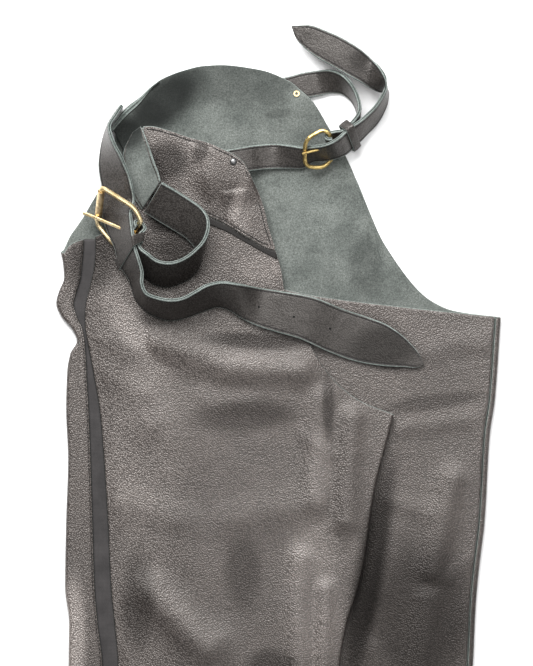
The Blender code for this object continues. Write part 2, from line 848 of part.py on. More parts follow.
def between_edges(name, start, end, count, rows, top_of, bottom_of, level_of, thickness, finish):
    """A sheet between an upper and a lower edge, each a height down for a place across."""
    columns = []
    for across in spread(count, start, end):
        top, bottom = top_of(across), bottom_of(across)
        levels = spread(rows, top, bottom)
        columns.append([world(across, down, level_of(across, down)) for down in levels])
    return add_sheet(name, columns, thickness, finish)


def yokes_and_band(yoke_finish, tape_finish):
    between_edges(
        "yoke_a", 143.5, 275.5, 23, 14,
        lambda across: read(WAIST_A, across) - 1.0,
        lambda across: read(YOKE_BOTTOM_A, across),
        yoke_a, LEATHER, yoke_finish,
    )
    between_edges(
        "pocket_zip_a", 150.0, 277.0, 17, 3,
        lambda across: max(read(YOKE_BOTTOM_A, across) + 1.2, read(WAIST_A, across) + 0.5),
        lambda across: read(BAND_BOTTOM_A, across),
        lambda across, down: front_a_flat(across, down) + (LEATHER + TAPE) / 2 + GAP,
        TAPE, tape_finish,
    )
    between_edges(
        "yoke_b", 116.0, 351.0, 25, 4,
        lambda across: read(WAIST_B, across) + 0.5,
        lambda across: max(read(YOKE_BOTTOM_B, across), read(WAIST_B, across) + 4.0),
        lambda across, down: front_b(across, down) - LEATHER - FAR_YOKE_GAP
        - ridge_height(RIDGES_FAR[1:], across, down),
        LEATHER, yoke_finish,
    )


def zip_tape(name, table, top, hem, levels, level_of, finish):
    """The tape behind the zip's opening, tucked under both edges."""
    columns = []
    for share in spread(3):
        columns.append(
            flat_column(
                share,
                lambda down: read(table, down, 2) - TAPE_UNDER_STRIP,
                lambda down: read(table, down, 3) + TAPE_UNDER_FRONT,
                lambda across: top,
                level_of,
                hem - TAPE_SHORT,
                levels,
            )
        )
    return add_sheet(name, columns, TAPE, finish)


def strap_frames(rows, half, ground=surface):
    """Each section of a strap: its upper and lower edges, both in millimetres."""
    edges = []
    for high_across, high_down, low_across, low_down, lift, width in rows:
        flat = math.hypot(high_across - low_across, high_down - low_down)
        lean = min(flat / width, 1.0)
        stand = GAP + half * lean + lift
        low = ground(low_across, low_down) + stand
        high = low + math.sqrt(max(width * width - flat * flat, 0.0))
        high = max(high, ground(high_across, high_down) + stand)
        edges.append(
            (
                np.array([high_across - CENTRE_ACROSS, CENTRE_DOWN - high_down, high]),
                np.array([low_across - CENTRE_ACROSS, CENTRE_DOWN - low_down, low]),
            )
        )
    return edges


def frame_at(edges, index):
    """The centre, the run, the way across and the outward way of a strap at one section."""
    high, low = edges[index]
    before, after = edges[max(index - 1, 0)], edges[min(index + 1, len(edges) - 1)]
    run = (after[0] + after[1] - before[0] - before[1]) / 2
    wide = (high - low) / np.linalg.norm(high - low)
    run = run - wide * (run @ wide)
    run = run / np.linalg.norm(run)
    return (high + low) / 2, run, wide, np.cross(run, wide)


def add_strap(name, edges, thickness, finish):
    """A strap through its sections, with square edges."""
    columns = [[], [], []]
    for high, low in edges:
        columns[0].append(high * MM)
        columns[1].append((high + low) * MM / 2)
        columns[2].append(low * MM)
    return add_sheet(name, columns, thickness, finish)


def wrap_sections(bar, run, wide, out, bar_wide, half_width):
    """A strap's end round a bar: along its inner side, round it and back along its outer side."""
    radius = bar_wide / 2 + GAP + STRAP / 2
    sections = []
    centres = [bar - out * radius + run * HEEL_RUN, bar - out * radius]
    for angle in spread(7, -60.0, 60.0):
        turn = math.radians(angle)
        centres.append(bar - run * radius * math.cos(turn) + out * radius * math.sin(turn))
    centres += [bar + out * radius, bar + out * radius + run * HEEL_TAIL]
    for centre in centres:
        sections.append((centre + wide * half_width, centre - wide * half_width))
    return sections


def rounded_loop(half_wide, half_out, corner, steps=4):
    """Points round a rectangle with round corners, as (along the width, outward)."""
    loop = []
    for quarter, (side_wide, side_out) in enumerate(((1, 1), (-1, 1), (-1, -1), (1, -1))):
        for step in range(steps):
            angle = math.radians(90 * quarter + 90 * step / (steps - 1))
            wide = side_wide * (half_wide - corner) + corner * math.cos(angle)
            out = side_out * (half_out - corner) + corner * math.sin(angle)
            loop.append((wide, out))
    return loop


def add_tube_of_loops(name, outer, inner, finish):
    """A ring-shaped wall between two grids, each a row of closed loops."""
    rows, count = outer.shape[:2]
    points = np.concatenate([outer.reshape(-1, 3), inner.reshape(-1, 3)])
    offset = rows * count
    faces = []
    for row in range(rows - 1):
        for index in range(count):
            after = (index + 1) % count
            a, b = row * count + index, row * count + after
            faces.append([a, b, b + count, a + count])
            faces.append([offset + a + count, offset + b + count, offset + b, offset + a])
    last = (rows - 1) * count
    for index in range(count):
        after = (index + 1) % count
        faces.append([after, index, offset + index, offset + after])
        faces.append(
            [last + index, last + after, offset + last + after, offset + last + index]
        )
    return add_object(name, points, facing_out(points, faces), finish)


def add_keeper(name, frames, inner, half_width, finish):
    """A band round two straps, through the sections given; inner is where the lower strap runs."""
    grids = []
    for wall in (KEEPER_WALL, 0.0):
        rings = []
        for (centre, _run, wide, out), depth in zip(frames, inner):
            out_side = STRAP / 2 + GAP
            in_side = depth + STRAP / 2 + KEEPER_SLACK
            half_out = (out_side + in_side) / 2 + wall
            loop = rounded_loop(half_width + wall, half_out, 2 * GAP + wall)
            middle = centre + out * (out_side - in_side) / 2
            rings.append([(middle + wide * a + out * b) * MM for a, b in loop])
        grids.append(np.array(rings))
    return add_tube_of_loops(name, grids[0], grids[1], finish)


def add_ring(name, start, end, radius, bore, finish, sides=20):
    """A straight tube between two places, in millimetres."""
    axis = (end - start) / np.linalg.norm(end - start)
    aside = np.cross(axis, [0.3, 0.2, 1.0])
    aside /= np.linalg.norm(aside)
    other = np.cross(axis, aside)
    grids = []
    for reach in (radius, bore):
        rings = []
        for place in (start, end):
            turns = [2 * math.pi * step / sides for step in range(sides)]
            rings.append(
                [
                    (place + (aside * math.cos(turn) + other * math.sin(turn)) * reach) * MM
                    for turn in turns
                ]
            )
        grids.append(np.array(rings))
    return add_tube_of_loops(name, grids[0], grids[1], finish)


def add_wire(name, places, thickness, finish, closed=False):
    """A round wire along places in millimetres."""
    curve = bpy.data.curves.new(name, "CURVE")
    curve.dimensions = "3D"
    spline = curve.splines.new("POLY")
    spline.points.add(len(places) - 1)
    for point, place in zip(spline.points, places):
        point.co = (*(place * MM), 1.0)
    spline.use_cyclic_u = closed
    spline.use_smooth = True
    curve.bevel_depth = thickness * MM / 2
    curve.bevel_resolution = 3
    curve.use_fill_caps = not closed
    curve.materials.append(finish)
    made = bpy.data.objects.new(name, curve)
    bpy.context.scene.collection.objects.link(made)
    return made


def round_corners(corners, radii, steps=5):
    """A closed path through corners, each one rounded off by its own radius."""
    count = len(corners)
    path = []
    for index, (corner, radius) in enumerate(zip(corners, radii)):
        before, after = corners[index - 1], corners[(index + 1) % count]
        back, ahead = before - corner, after - corner
        reach = min(radius, np.linalg.norm(back) * 0.45, np.linalg.norm(ahead) * 0.45)
        first = corner + back / np.linalg.norm(back) * reach
        last = corner + ahead / np.linalg.norm(ahead) * reach
        for step in range(steps):
            t = step / (steps - 1)
            path.append(first * (1 - t) ** 2 + corner * 2 * t * (1 - t) + last * t * t)
    return path


def add_dome(name, centre, radius, high, finish, sides=16, rings=4):
    """A low dome with a flat underside, in millimetres."""
    points = [centre]
    for ring in range(rings):
        angle = math.pi / 2 * ring / rings
        for side in range(sides):
            turn = 2 * math.pi * side / sides
            reach = radius * math.cos(angle)
            offset = [reach * math.cos(turn), reach * math.sin(turn), high * math.sin(angle)]
            points.append(centre + np.array(offset))
    points.append(centre + np.array([0.0, 0.0, high]))
    top = len(points) - 1
    faces = []
    for side in range(sides):
        after = (side + 1) % sides
        faces.append([0, 1 + side, 1 + after])
        for ring in range(rings - 1):
            a, b = 1 + ring * sides + side, 1 + ring * sides + after
            faces.append([a, a + sides, b + sides, b])
        last = 1 + (rings - 1) * sides
        faces.append([last + side, top, last + after])
    points = [point * MM for point in points]
    return add_object(name, points, facing_out(points, faces), finish)


def cut_with(target, name, start, end, radius):
    """Cuts a round hole between two places, in millimetres, with a guide that isn't drawn."""
    axis = end - start
    aside = np.cross(axis, [0.3, 0.2, 1.0])
    aside = aside / np.linalg.norm(aside)
    other = np.cross(axis, aside) / np.linalg.norm(axis)
    sides = 14
    points = []
    for place in (start, end):
        for step in range(sides):
            turn = 2 * math.pi * step / sides
            points.append((place + (aside * math.cos(turn) + other * math.sin(turn)) * radius) * MM)
    faces = [list(range(sides)), list(range(sides, 2 * sides))[::-1]]
    for step in range(sides):
        after = (step + 1) % sides
        faces.append([after, step, step + sides, after + sides])
    cutter = add_object(name, points, facing_out(points, faces), target.data.materials[0])
    cutter.hide_render = True
    cutter.display_type = "WIRE"
    modifier = target.modifiers.new(name, "BOOLEAN")
    modifier.operation = "DIFFERENCE"
    modifier.object = cutter
    return cutter


def tongue_path(bar, run, out, wire, thickness, over, tip):
    """A hook round the bar, then straight to the far bar and a little past it."""
    radius = wire / 2 + GAP + thickness / 2
    path = []
    for angle in spread(HOOK_STEPS + 1, *HOOK_TURN):
        turn = math.radians(angle)
        path.append(bar + run * radius * math.cos(turn) + out * radius * math.sin(turn))
    path += [path[-1] * 0.45 + over * 0.55, over, tip]
    return path


def big_fastening(strap_finish, brass):
    """The waist belt: leg B's strap goes through the roller buckle of leg A's strap."""
    belt = strap_frames(BELT_ROWS, STRAP / 2)
    centre, run, wide, out = frame_at(belt, BIG_HEEL_ROW)
    bar = centre - out * (BIG_WIRE / 2 + 2 * GAP + 1.5 * STRAP + HEEL_SLACK)
    belt_solid = add_strap("belt_strap_b", belt, STRAP, strap_finish)

    held = strap_frames(BUCKLE_STRAP_ROWS, STRAP / 2)
    for index, inner in zip(reversed(BIG_KEEPER_ROWS), reversed(BIG_INNER)):
        place, _run, way, outward = frame_at(belt, index)
        held.append(
            (
                place - outward * inner + way * BELT_WIDTH / 2,
                place - outward * inner - way * BELT_WIDTH / 2,
            )
        )
    held += wrap_sections(bar, run, wide, out, BIG_WIRE, BELT_WIDTH / 2)
    strap_solid = add_strap("buckle_strap_a", held, STRAP, strap_finish)

    corners = [
        place_of(ROLLER_LOW_CORNER),
        place_of(ROLLER_HIGH_CORNER),
        place_of(BIG_BEND_HIGH),
        bar + wide * BIG_HALF_BAR,
        bar - wide * BIG_HALF_BAR,
        place_of(BIG_BEND_LOW),
    ]
    path = round_corners(corners, BIG_CORNERS)
    add_wire("big_buckle_frame", path, BIG_WIRE, brass, closed=True)
    low, high = (corners[0] + (corners[1] - corners[0]) * share for share in ROLLER_SPAN)
    add_ring("big_buckle_roller", low, high, ROLLER_WIDE / 2, BIG_WIRE / 2 + GAP, brass)
    over = low + (high - low) * BIG_TONGUE_PLACE
    over = over + out * ((ROLLER_WIDE + BIG_TONGUE) / 2 + 3 * GAP)
    hook = bar + wide * BIG_TONGUE_UP
    tip = over + (over - hook) / np.linalg.norm(over - hook) * BIG_TONGUE_PAST
    path = tongue_path(hook, run, out, BIG_WIRE, BIG_TONGUE, over, tip)
    add_wire("big_buckle_tongue", path, BIG_TONGUE, brass)
    cut_with(belt_solid, "tongue_hole_guide", path[HOOK_STEPS], over, BIG_TONGUE / 2 + 2 * GAP)
    half_slot = BIG_TONGUE / 2 + SLOT_SLACK
    reach = BIG_WIRE / 2 + 2 * GAP + BIG_TONGUE + SLOT_SLACK
    cut_with(
        strap_solid, "tongue_slot_guide", hook - wide * half_slot, hook + wide * half_slot, reach
    )

    frames = [frame_at(belt, index) for index in BIG_KEEPER_ROWS]
    add_keeper("belt_keeper", frames, BIG_INNER, BELT_WIDTH / 2 + KEEPER_EDGE, strap_finish)


def small_fastening(strap_finish, brass):
    """The front strap: leg A's strap goes through the small buckle of leg B's strap."""
    billet = strap_frames(
        BILLET_ROWS, STRAP / 2, lambda across, down: surface(across, down, yoke=False)
    )
    centre, run, wide, out = frame_at(billet, SMALL_HEEL_ROW)
    bar = centre - out * (SMALL_WIRE / 2 + 2 * GAP + 1.5 * STRAP + HEEL_SLACK)
    billet_solid = add_strap("front_strap_a", billet, STRAP, strap_finish)

    held = strap_frames(SHORT_STRAP_ROWS, STRAP / 2, lambda across, down: 0.0)
    for index, inner in zip(reversed(SMALL_KEEPER_ROWS), reversed(SMALL_INNER)):
        place, _run, way, outward = frame_at(billet, index)
        held.append(
            (
                place - outward * inner + way * BILLET_WIDTH / 2,
                place - outward * inner - way * BILLET_WIDTH / 2,
            )
        )
    held += wrap_sections(bar, run, wide, out, SMALL_WIRE, BILLET_WIDTH / 2)
    strap_solid = add_strap("front_buckle_strap_b", held, STRAP, strap_finish)

    corners = [
        bar - wide * SMALL_HALF_BAR,
        bar + wide * SMALL_HALF_BAR,
        place_of(SMALL_FRAME[0]),
        place_of(SMALL_FRAME[1]),
        place_of(SMALL_FRAME[2]),
        place_of(SMALL_FRAME[3]),
    ]
    path = round_corners(corners, SMALL_CORNERS)
    add_wire("small_buckle_frame", path, SMALL_WIRE, brass, closed=True)
    over = place_of(SMALL_FRAME[1]) * 0.5 + place_of(SMALL_FRAME[2]) * 0.5
    over = over + np.array([0.0, 0.0, (SMALL_WIRE + SMALL_TONGUE) / 2 + 3 * GAP])
    tip = over + (over - bar) / np.linalg.norm(over - bar) * SMALL_TONGUE_PAST
    path = tongue_path(bar, run, out, SMALL_WIRE, SMALL_TONGUE, over, tip)
    add_wire("small_buckle_tongue", path, SMALL_TONGUE, brass)
    cut_with(billet_solid, "small_hole_guide", path[HOOK_STEPS], over, SMALL_TONGUE / 2 + 2 * GAP)
    half_slot = SMALL_TONGUE / 2 + SLOT_SLACK
    reach = SMALL_WIRE / 2 + 2 * GAP + SMALL_TONGUE + SLOT_SLACK
    cut_with(
        strap_solid, "small_slot_guide", bar - wide * half_slot, bar + wide * half_slot, reach
    )

    frames = [frame_at(billet, index) for index in SMALL_KEEPER_ROWS]
    add_keeper("front_keeper", frames, SMALL_INNER, BILLET_WIDTH / 2 + KEEPER_EDGE, strap_finish)


def box_points(middle, half):
    """The corners and faces of a box, in millimetres."""
    signs = [(x, y, z) for x in (-1, 1) for y in (-1, 1) for z in (-1, 1)]
    points = [middle + np.array(sign) * half for sign in signs]
    faces = [[0, 1, 3, 2], [4, 6, 7, 5], [0, 4, 5, 1], [2, 3, 7, 6], [0, 2, 6, 4], [1, 5, 7, 3]]
    return points, faces


def add_box(name, middle, half, finish):
    points, faces = box_points(np.array(middle), np.array(half))
    points = [point * MM for point in points]
    return add_object(name, points, facing_out(points, faces), finish)


def add_slider(name, place, level, side, finish):
    """A zip slider; side is 1 on top of the tape and -1 under it. Returns its pin's middle."""
    across, down = place
    middle = place_of((across, down, level + side * (SLIDER_GAP + SLIDER_HIGH / 2)))
    body = add_box(name, middle, (SLIDER_WIDE / 2, SLIDER_LONG / 2, SLIDER_HIGH / 2), finish)
    pin = middle + np.array([0.0, 0.0, side * (SLIDER_HIGH / 2 + PIN_STAND)])
    lug_out = PULL_WIDE / 2 + GAP + LUG_WIDE / 2
    for end in (-1, 1):
        rise = side * (SLIDER_HIGH + LUG_HIGH) / 2 - side * LUG_SUNK
        lug_middle = middle + np.array([end * lug_out, 0.0, rise])
        lug_half = (LUG_WIDE / 2, LUG_LONG / 2, LUG_HIGH / 2)
        lug = add_box(f"{name}_lug{end}", lug_middle, lug_half, finish)
        union_into(body, lug)
    reach = np.array([lug_out, 0.0, 0.0])
    rod = add_rod(name + "_pin", pin - reach, pin + reach, PIN_WIDE / 2, finish)
    union_into(body, rod)
    return pin


def add_rod(name, start, end, radius, finish, sides=12):
    """A round bar along X, in millimetres."""
    points, faces = [], [list(range(sides)), list(range(sides, 2 * sides))[::-1]]
    for place in (start, end):
        for step in range(sides):
            turn = 2 * math.pi * step / sides
            points.append((place + np.array([0.0, math.cos(turn), math.sin(turn)]) * radius) * MM)
    for step in range(sides):
        after = (step + 1) % sides
        faces.append([after, step, step + sides, after + sides])
    return add_object(name, points, facing_out(points, faces), finish)


def union_into(body, piece):
    """Joins a piece to a body; the piece itself becomes a guide."""
    piece.hide_render = True
    piece.display_type = "WIRE"
    modifier = body.modifiers.new(piece.name, "BOOLEAN")
    modifier.operation = "UNION"
    modifier.object = piece


def add_pull(name, pin, side, finish):
    """A pull tab: an open eye round the pin and a flat plate toward the hem."""
    bore = PIN_WIDE / 2 + GAP
    eye = bore + EYE_WALL
    half_plate = PULL_THICK / 2
    root = math.degrees(math.asin(half_plate / eye))
    outline = []
    for angle in spread(11, EYE_REACH, -EYE_REACH):
        outline.append((bore * math.cos(math.radians(angle)), bore * math.sin(math.radians(angle))))
    for angle in spread(7, -EYE_REACH, -root):
        outline.append((eye * math.cos(math.radians(angle)), eye * math.sin(math.radians(angle))))
    outline += [(PULL_LONG, -half_plate), (PULL_LONG, half_plate)]
    for angle in spread(7, root, EYE_REACH):
        outline.append((eye * math.cos(math.radians(angle)), eye * math.sin(math.radians(angle))))
    count = len(outline)
    points = []
    for end in (-1, 1):
        for run, rise in outline:
            points.append(np.array([end * PULL_WIDE / 2, -run, side * rise]) * MM)
    faces = [list(range(count)), list(range(count, 2 * count))[::-1]]
    for step in range(count):
        after = (step + 1) % count
        faces.append([after, step, step + count, after + count])
    made = add_object(name, points, facing_out(points, faces), finish)
    made.location = pin * MM


def zips(tape_finish, metal):
    def level_a(across, down):
        return back_a(across, down) + (LEATHER + TAPE) / 2 + TAPE_GAP

    def level_b(across, down):
        return front_b(across, down) + (LEATHER + TAPE) / 2 + TAPE_GAP

    zip_tape("zip_tape_a", OUTSEAM_A, TAPE_TOP_A, HEM_A, LEVELS_FINE, level_a, tape_finish)
    zip_tape("zip_tape_b", OUTSEAM_B, TAPE_TOP_B, HEM_B, LEVELS_B_LOW, level_b, tape_finish)
    place = slider_a_place()
    pin = add_slider("zip_slider_a", place, level_a(*place) + TAPE / 2, 1, metal)
    add_pull("zip_pull_a", pin, 1, metal)
    place = slider_b_place()
    pin = add_slider("zip_slider_b", place, level_b(*place) - TAPE / 2, -1, metal)
    add_pull("zip_pull_b", pin, -1, metal)


def rivets(dark_metal, brass):
    across, down = RIVET_A
    height = yoke_a(across, down) + LEATHER / 2 + GAP
    add_dome("rivet_a", place_of((across, down, height)), RIVET / 2, RIVET_HIGH, dark_metal)
    across, down = RIVET_B
    height = front_b(across, down) + LEATHER / 2 + GAP
    start = place_of((across, down, height))
    wide, hole, high = RING_RIVET
    add_ring("rivet_b", start, start + np.array([0.0, 0.0, high]), wide / 2, hole / 2, brass)


def main():
    for old in list(bpy.data.objects):
        bpy.data.objects.remove(old)
    grain = material("grain_leather", (0.13, 0.12, 0.11), 0.5)
    strap = material("strap_leather", (0.08, 0.075, 0.07), 0.5)
    tape = material("zip_tape", (0.07, 0.065, 0.068), 0.6)
    pale_brass = material("pale_brass", (0.80, 0.62, 0.36), 0.3, 1.0)
    old_brass = material("old_brass", (0.45, 0.33, 0.14), 0.35, 1.0)
    gunmetal = material("gunmetal", (0.12, 0.12, 0.13), 0.35, 1.0)
    leg_b_front(grain)
    leg_b_back(grain)
    leg_a_back(grain)
    leg_a_front(grain)
    yokes_and_band(grain, tape)
    zips(tape, gunmetal)
    add_strap("yoke_end_a", strap_frames(YOKE_END_ROWS, LEATHER / 2), LEATHER, grain)
    big_fastening(strap, pale_brass)
    small_fastening(strap, old_brass)
    rivets(gunmetal, pale_brass)


main()
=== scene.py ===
"""The looks of a pair of leather chaps that lie flat, folded along the centre.

Leg A is on top with its front up. Leg B is under it with its front down, so its inside shows at
the waist. Places are in millimetres on the table: across grows to the right, down grows from the
waist to the hems, and height is measured from the table.
"""

from __future__ import annotations

import logging
import math
from collections.abc import Callable
from dataclasses import dataclass, field, replace
from enum import Enum

import bpy
import numpy as np
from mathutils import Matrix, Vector


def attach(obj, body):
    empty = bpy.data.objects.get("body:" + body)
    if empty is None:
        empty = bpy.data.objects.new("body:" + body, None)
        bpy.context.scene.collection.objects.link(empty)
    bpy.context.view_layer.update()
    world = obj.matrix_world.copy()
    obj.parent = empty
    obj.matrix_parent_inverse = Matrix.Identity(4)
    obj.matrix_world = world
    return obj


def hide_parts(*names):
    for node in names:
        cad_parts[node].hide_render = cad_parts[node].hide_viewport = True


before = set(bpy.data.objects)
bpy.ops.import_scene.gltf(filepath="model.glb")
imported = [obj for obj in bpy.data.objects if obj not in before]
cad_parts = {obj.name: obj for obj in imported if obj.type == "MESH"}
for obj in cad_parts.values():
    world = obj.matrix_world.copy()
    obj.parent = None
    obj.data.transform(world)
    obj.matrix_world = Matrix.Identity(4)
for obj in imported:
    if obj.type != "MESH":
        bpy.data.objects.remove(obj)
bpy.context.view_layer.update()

LOG = logging.getLogger("chaps")
MM = 0.001
BODY = "garment"

Array = np.ndarray
Piece = bpy.types.Object
Socket = bpy.types.NodeSocket
Colour = tuple[float, float, float]
Place = tuple[float, float, float]
Table = tuple[tuple[float, ...], ...]
Edge = Callable[[Array], Array]
Height = Callable[[Array, Array], Array]

# Outlines of leg A: a level down the leg, the outer fold, the edge of the strip beside the zip,
# and the front's edge over the zip.
OUTSEAM_A: Table = (
    (250, 61, 84, 95.5), (264, 64, 82.5, 94.5), (278, 65, 81, 92), (291, 60, 77, 89),
    (303, 57, 74, 86), (316, 62, 77, 85), (329, 73, 83, 85.5), (341, 78, 85, 87.5),
    (354, 71, 86, 90), (373, 68, 87, 93.5), (409, 67, 89, 99.6), (459, 69, 91, 104),
    (523, 67, 93, 108), (587, 66, 95, 111), (622, 70, 98, 114.5), (666, 69.5, 103, 118),
    (760, 71, 104, 118), (900, 74, 107, 121), (1050, 80, 113, 127), (1195, 86, 119, 133),
)
# A level down leg A, and its inner-leg fold.
INSEAM_A: Table = (
    (414, 393), (434, 388), (485, 375), (515, 370), (560, 364), (597, 355), (620, 347), (666, 339),
    (760, 335), (900, 330), (1050, 324), (1195, 320),
)
# Upper edges: across, down.
WAIST_A: Table = (
    (95, 236.5), (105, 232), (118, 205), (130, 165), (142, 128), (150, 127.5),
    (170, 132), (188, 138), (206, 143), (220, 149), (234, 156), (244, 164),
    (248, 171), (257, 190), (264, 209), (269, 230), (276, 252), (282, 273),
    (284, 288), (308, 341), (327, 372), (339, 385), (360, 401), (393, 414),
)
BACK_TOP_A: Table = (
    (60, 250), (75, 229), (84, 216), (90, 205.5), (101.5, 189), (113, 183),
    (130, 190), (160, 225), (200, 300), (260, 360), (330, 395), (393, 414),
)
STRIP_TOP_A: Table = ((61, 253), (73, 243), (84, 239), (105, 236))
# Outlines of leg B, as leg A's.
OUTSEAM_B: Table = (
    (128, 112, 113, 112.5), (180, 130, 137, 140), (240, 162, 174, 188), (317, 174, 188, 202),
    (418, 188, 206, 220), (569, 208, 232, 246), (666, 207, 236, 250), (803, 205, 236, 250),
    (953, 204, 236, 250), (1098, 200, 233, 247),
)
INSEAM_B: Table = (
    (317, 500), (400, 494), (434, 489), (519, 484), (570, 478), (604, 475),
    (666, 472), (803, 461), (953, 448), (1098, 434),
)
WAIST_B: Table = (
    (112, 128), (125, 109), (140, 97), (152, 86), (162, 79), (182, 71),
    (203, 66), (220, 65), (260, 70), (290, 82), (300, 90), (313, 102),
    (330, 130), (345, 155), (385, 245), (430, 300), (455, 311), (500, 317),
)
BACK_TOP_B: Table = (
    (174, 205), (190, 197), (215, 215), (245, 255), (283, 288), (300, 293),
    (322, 297), (440, 311), (500, 317),
)
# Lower edges of what lies on the panels: across, down.
YOKE_BOTTOM_A: Table = (
    (143, 196), (180, 204), (210.5, 217), (227, 225), (248, 238), (267, 248), (276, 250.5),
)
BAND_BOTTOM_A: Table = (
    (150, 207), (180, 212), (211, 225.5), (227, 232), (243, 241), (259, 250), (277.5, 260),
)
YOKE_BOTTOM_B: Table = ((120, 170), (170, 165), (215, 155), (260, 152), (300, 158), (352, 173))
# Soft ridges: across and down of both ends, half width, height.
RIDGES_A: Table = (
    (160, 342, 230, 367, 16, 4.5), (230, 367, 300, 370, 16, 5), (112, 300, 150, 420, 24, 3),
    (320, 400, 316, 500, 14, 3), (352, 418, 346, 520, 12, 4), (150, 592, 206, 648, 17, 5),
    (300, 560, 296, 760, 12, 3), (325, 590, 321, 800, 9, 3), (140, 840, 215, 905, 19, 4),
    (245, 965, 300, 900, 17, 4), (140, 1075, 235, 1100, 16, 3),
)
RIDGES_B: Table = (
    (452, 480, 432, 570, 13, 4), (428, 600, 416, 690, 14, 3),
    (380, 800, 430, 860, 16, 4), (365, 1000, 410, 960, 15, 3),
)
RIDGES_YOKE: Table = ((238, 198, 243, 236, 11, 2.2),)
RIDGES_FAR: Table = ((104, 122, 112, 130, 30, 8), (275, 93, 306, 88, 27, 5.6))
# Finer creases that only the cloth's own surface carries, laid out as the ridges.
CREASES_A: Table = (
    (100, 338, 136, 350, 7, 1.2), (96, 372, 150, 392, 9, 0.9), (235, 330, 262, 345, 5, 0.9),
    (205, 400, 285, 408, 12, 1.4), (300, 430, 330, 455, 7, 0.8), (120, 505, 190, 520, 14, 1.2),
    (225, 520, 300, 505, 16, 1.4), (118, 640, 150, 700, 10, 1.2), (230, 640, 262, 720, 14, 1.6),
    (205, 760, 262, 790, 13, 1.5), (280, 820, 318, 850, 11, 1.3), (150, 980, 205, 1000, 13, 1.4),
    (265, 1060, 305, 1120, 12, 1.4),
)
CREASES_B: Table = (
    (398, 430, 470, 418, 9, 1.1), (402, 350, 478, 345, 12, 1), (390, 500, 430, 512, 8, 1),
    (440, 585, 470, 560, 8, 1), (372, 650, 402, 700, 9, 1.2), (440, 720, 418, 790, 11, 1.2),
    (350, 900, 420, 915, 12, 1.2), (300, 1010, 340, 1070, 12, 1),
)
CREASES_SUEDE: Table = (
    (276, 118, 316, 104, 7, 1.2), (290, 190, 350, 240, 16, 1.4), (300, 262, 372, 275, 12, 1),
    (160, 120, 190, 96, 12, 1.6), (225, 110, 262, 96, 14, 1),
)
# The strap's bump under the yoke: its ends, its flat reach, its height.
STRAP_BUMP: tuple[float, ...] = (228.0, 163.0, 262.0, 157.0, 15.5, 5.4)

# Straps on edge: upper edge across and down, lower edge across and down, lift, width.
BELT_ROWS: Table = (
    (123, 106.5, 121.5, 106, 0, 38), (116.5, 116.5, 114.5, 115, 0, 38),
    (110.5, 127, 108, 126.5, 0, 38), (112, 136, 104.5, 136, 1.5, 38),
    (116.5, 147, 102, 146, 2.5, 38), (121.5, 156, 100.5, 155, 3.5, 38),
    (126, 166, 99.5, 164, 4.5, 38), (130.5, 177, 100.5, 176, 5.5, 38),
    (133, 187, 102.5, 187, 6.2, 38), (135, 201, 102, 211, 5, 38), (132, 213, 108, 232, 6, 38),
    (133, 225, 116, 249, 10.8, 38), (134.5, 237, 118.5, 259, 10, 38),
    (136, 247, 122.5, 268, 7.2, 38), (140, 260, 129.5, 279, 4, 38), (143, 271, 132.5, 287, 0, 38),
    (143, 284, 137, 300, 0, 38), (147.5, 293.5, 147, 311, 0, 38), (157, 297.5, 158, 317, 0, 38),
    (171, 300, 172, 320, 0, 38), (184, 298, 187, 317, 0, 38), (196, 291.5, 202, 311.5, 0, 38),
    (208, 285, 218, 307, 1, 38), (222, 282, 231, 311, 1.5, 38), (239, 284, 241, 318, 1.6, 38),
    (260, 288, 257, 326, 1.6, 38), (283.5, 291.7, 276, 332, 1.6, 38),
    (312, 297, 300, 339, 2.4, 38), (343, 309, 330, 352.5, 2, 38), (370, 318, 358, 362, 0, 38),
    (389, 326, 383, 366, 0, 38), (408, 341, 404, 367, 0, 26.3), (421, 358, 419, 367, 0, 9.2),
)
YOKE_END_ROWS: Table = (
    (141, 127, 133, 133, 1, 10), (147, 140, 124, 152, 4.5, 27), (151, 151, 124, 168, 4, 34),
    (155, 163, 128, 184, 1, 37), (159, 173.5, 135, 199, 0.2, 38), (161, 181.5, 142, 210, 0.2, 38),
)
BUCKLE_STRAP_ROWS: Table = (
    (162.5, 183, 144.5, 212.5, 3, 38), (178, 192, 160, 222, 1.6, 38),
    (192, 201, 175, 231, 1.4, 38), (202, 208.5, 187, 239, 1.2, 38), (208, 218, 196, 249, 1, 38),
    (208.5, 229, 200, 259, 1, 38), (204.5, 240, 197.5, 269, 1, 38), (196, 250, 190, 278, 1, 38),
    (184, 259, 179, 284, 1, 38), (171, 263, 167, 287, 1, 38), (158, 261, 154, 284, 1.5, 38),
    (149, 254.5, 143.5, 276, 3, 38),
)
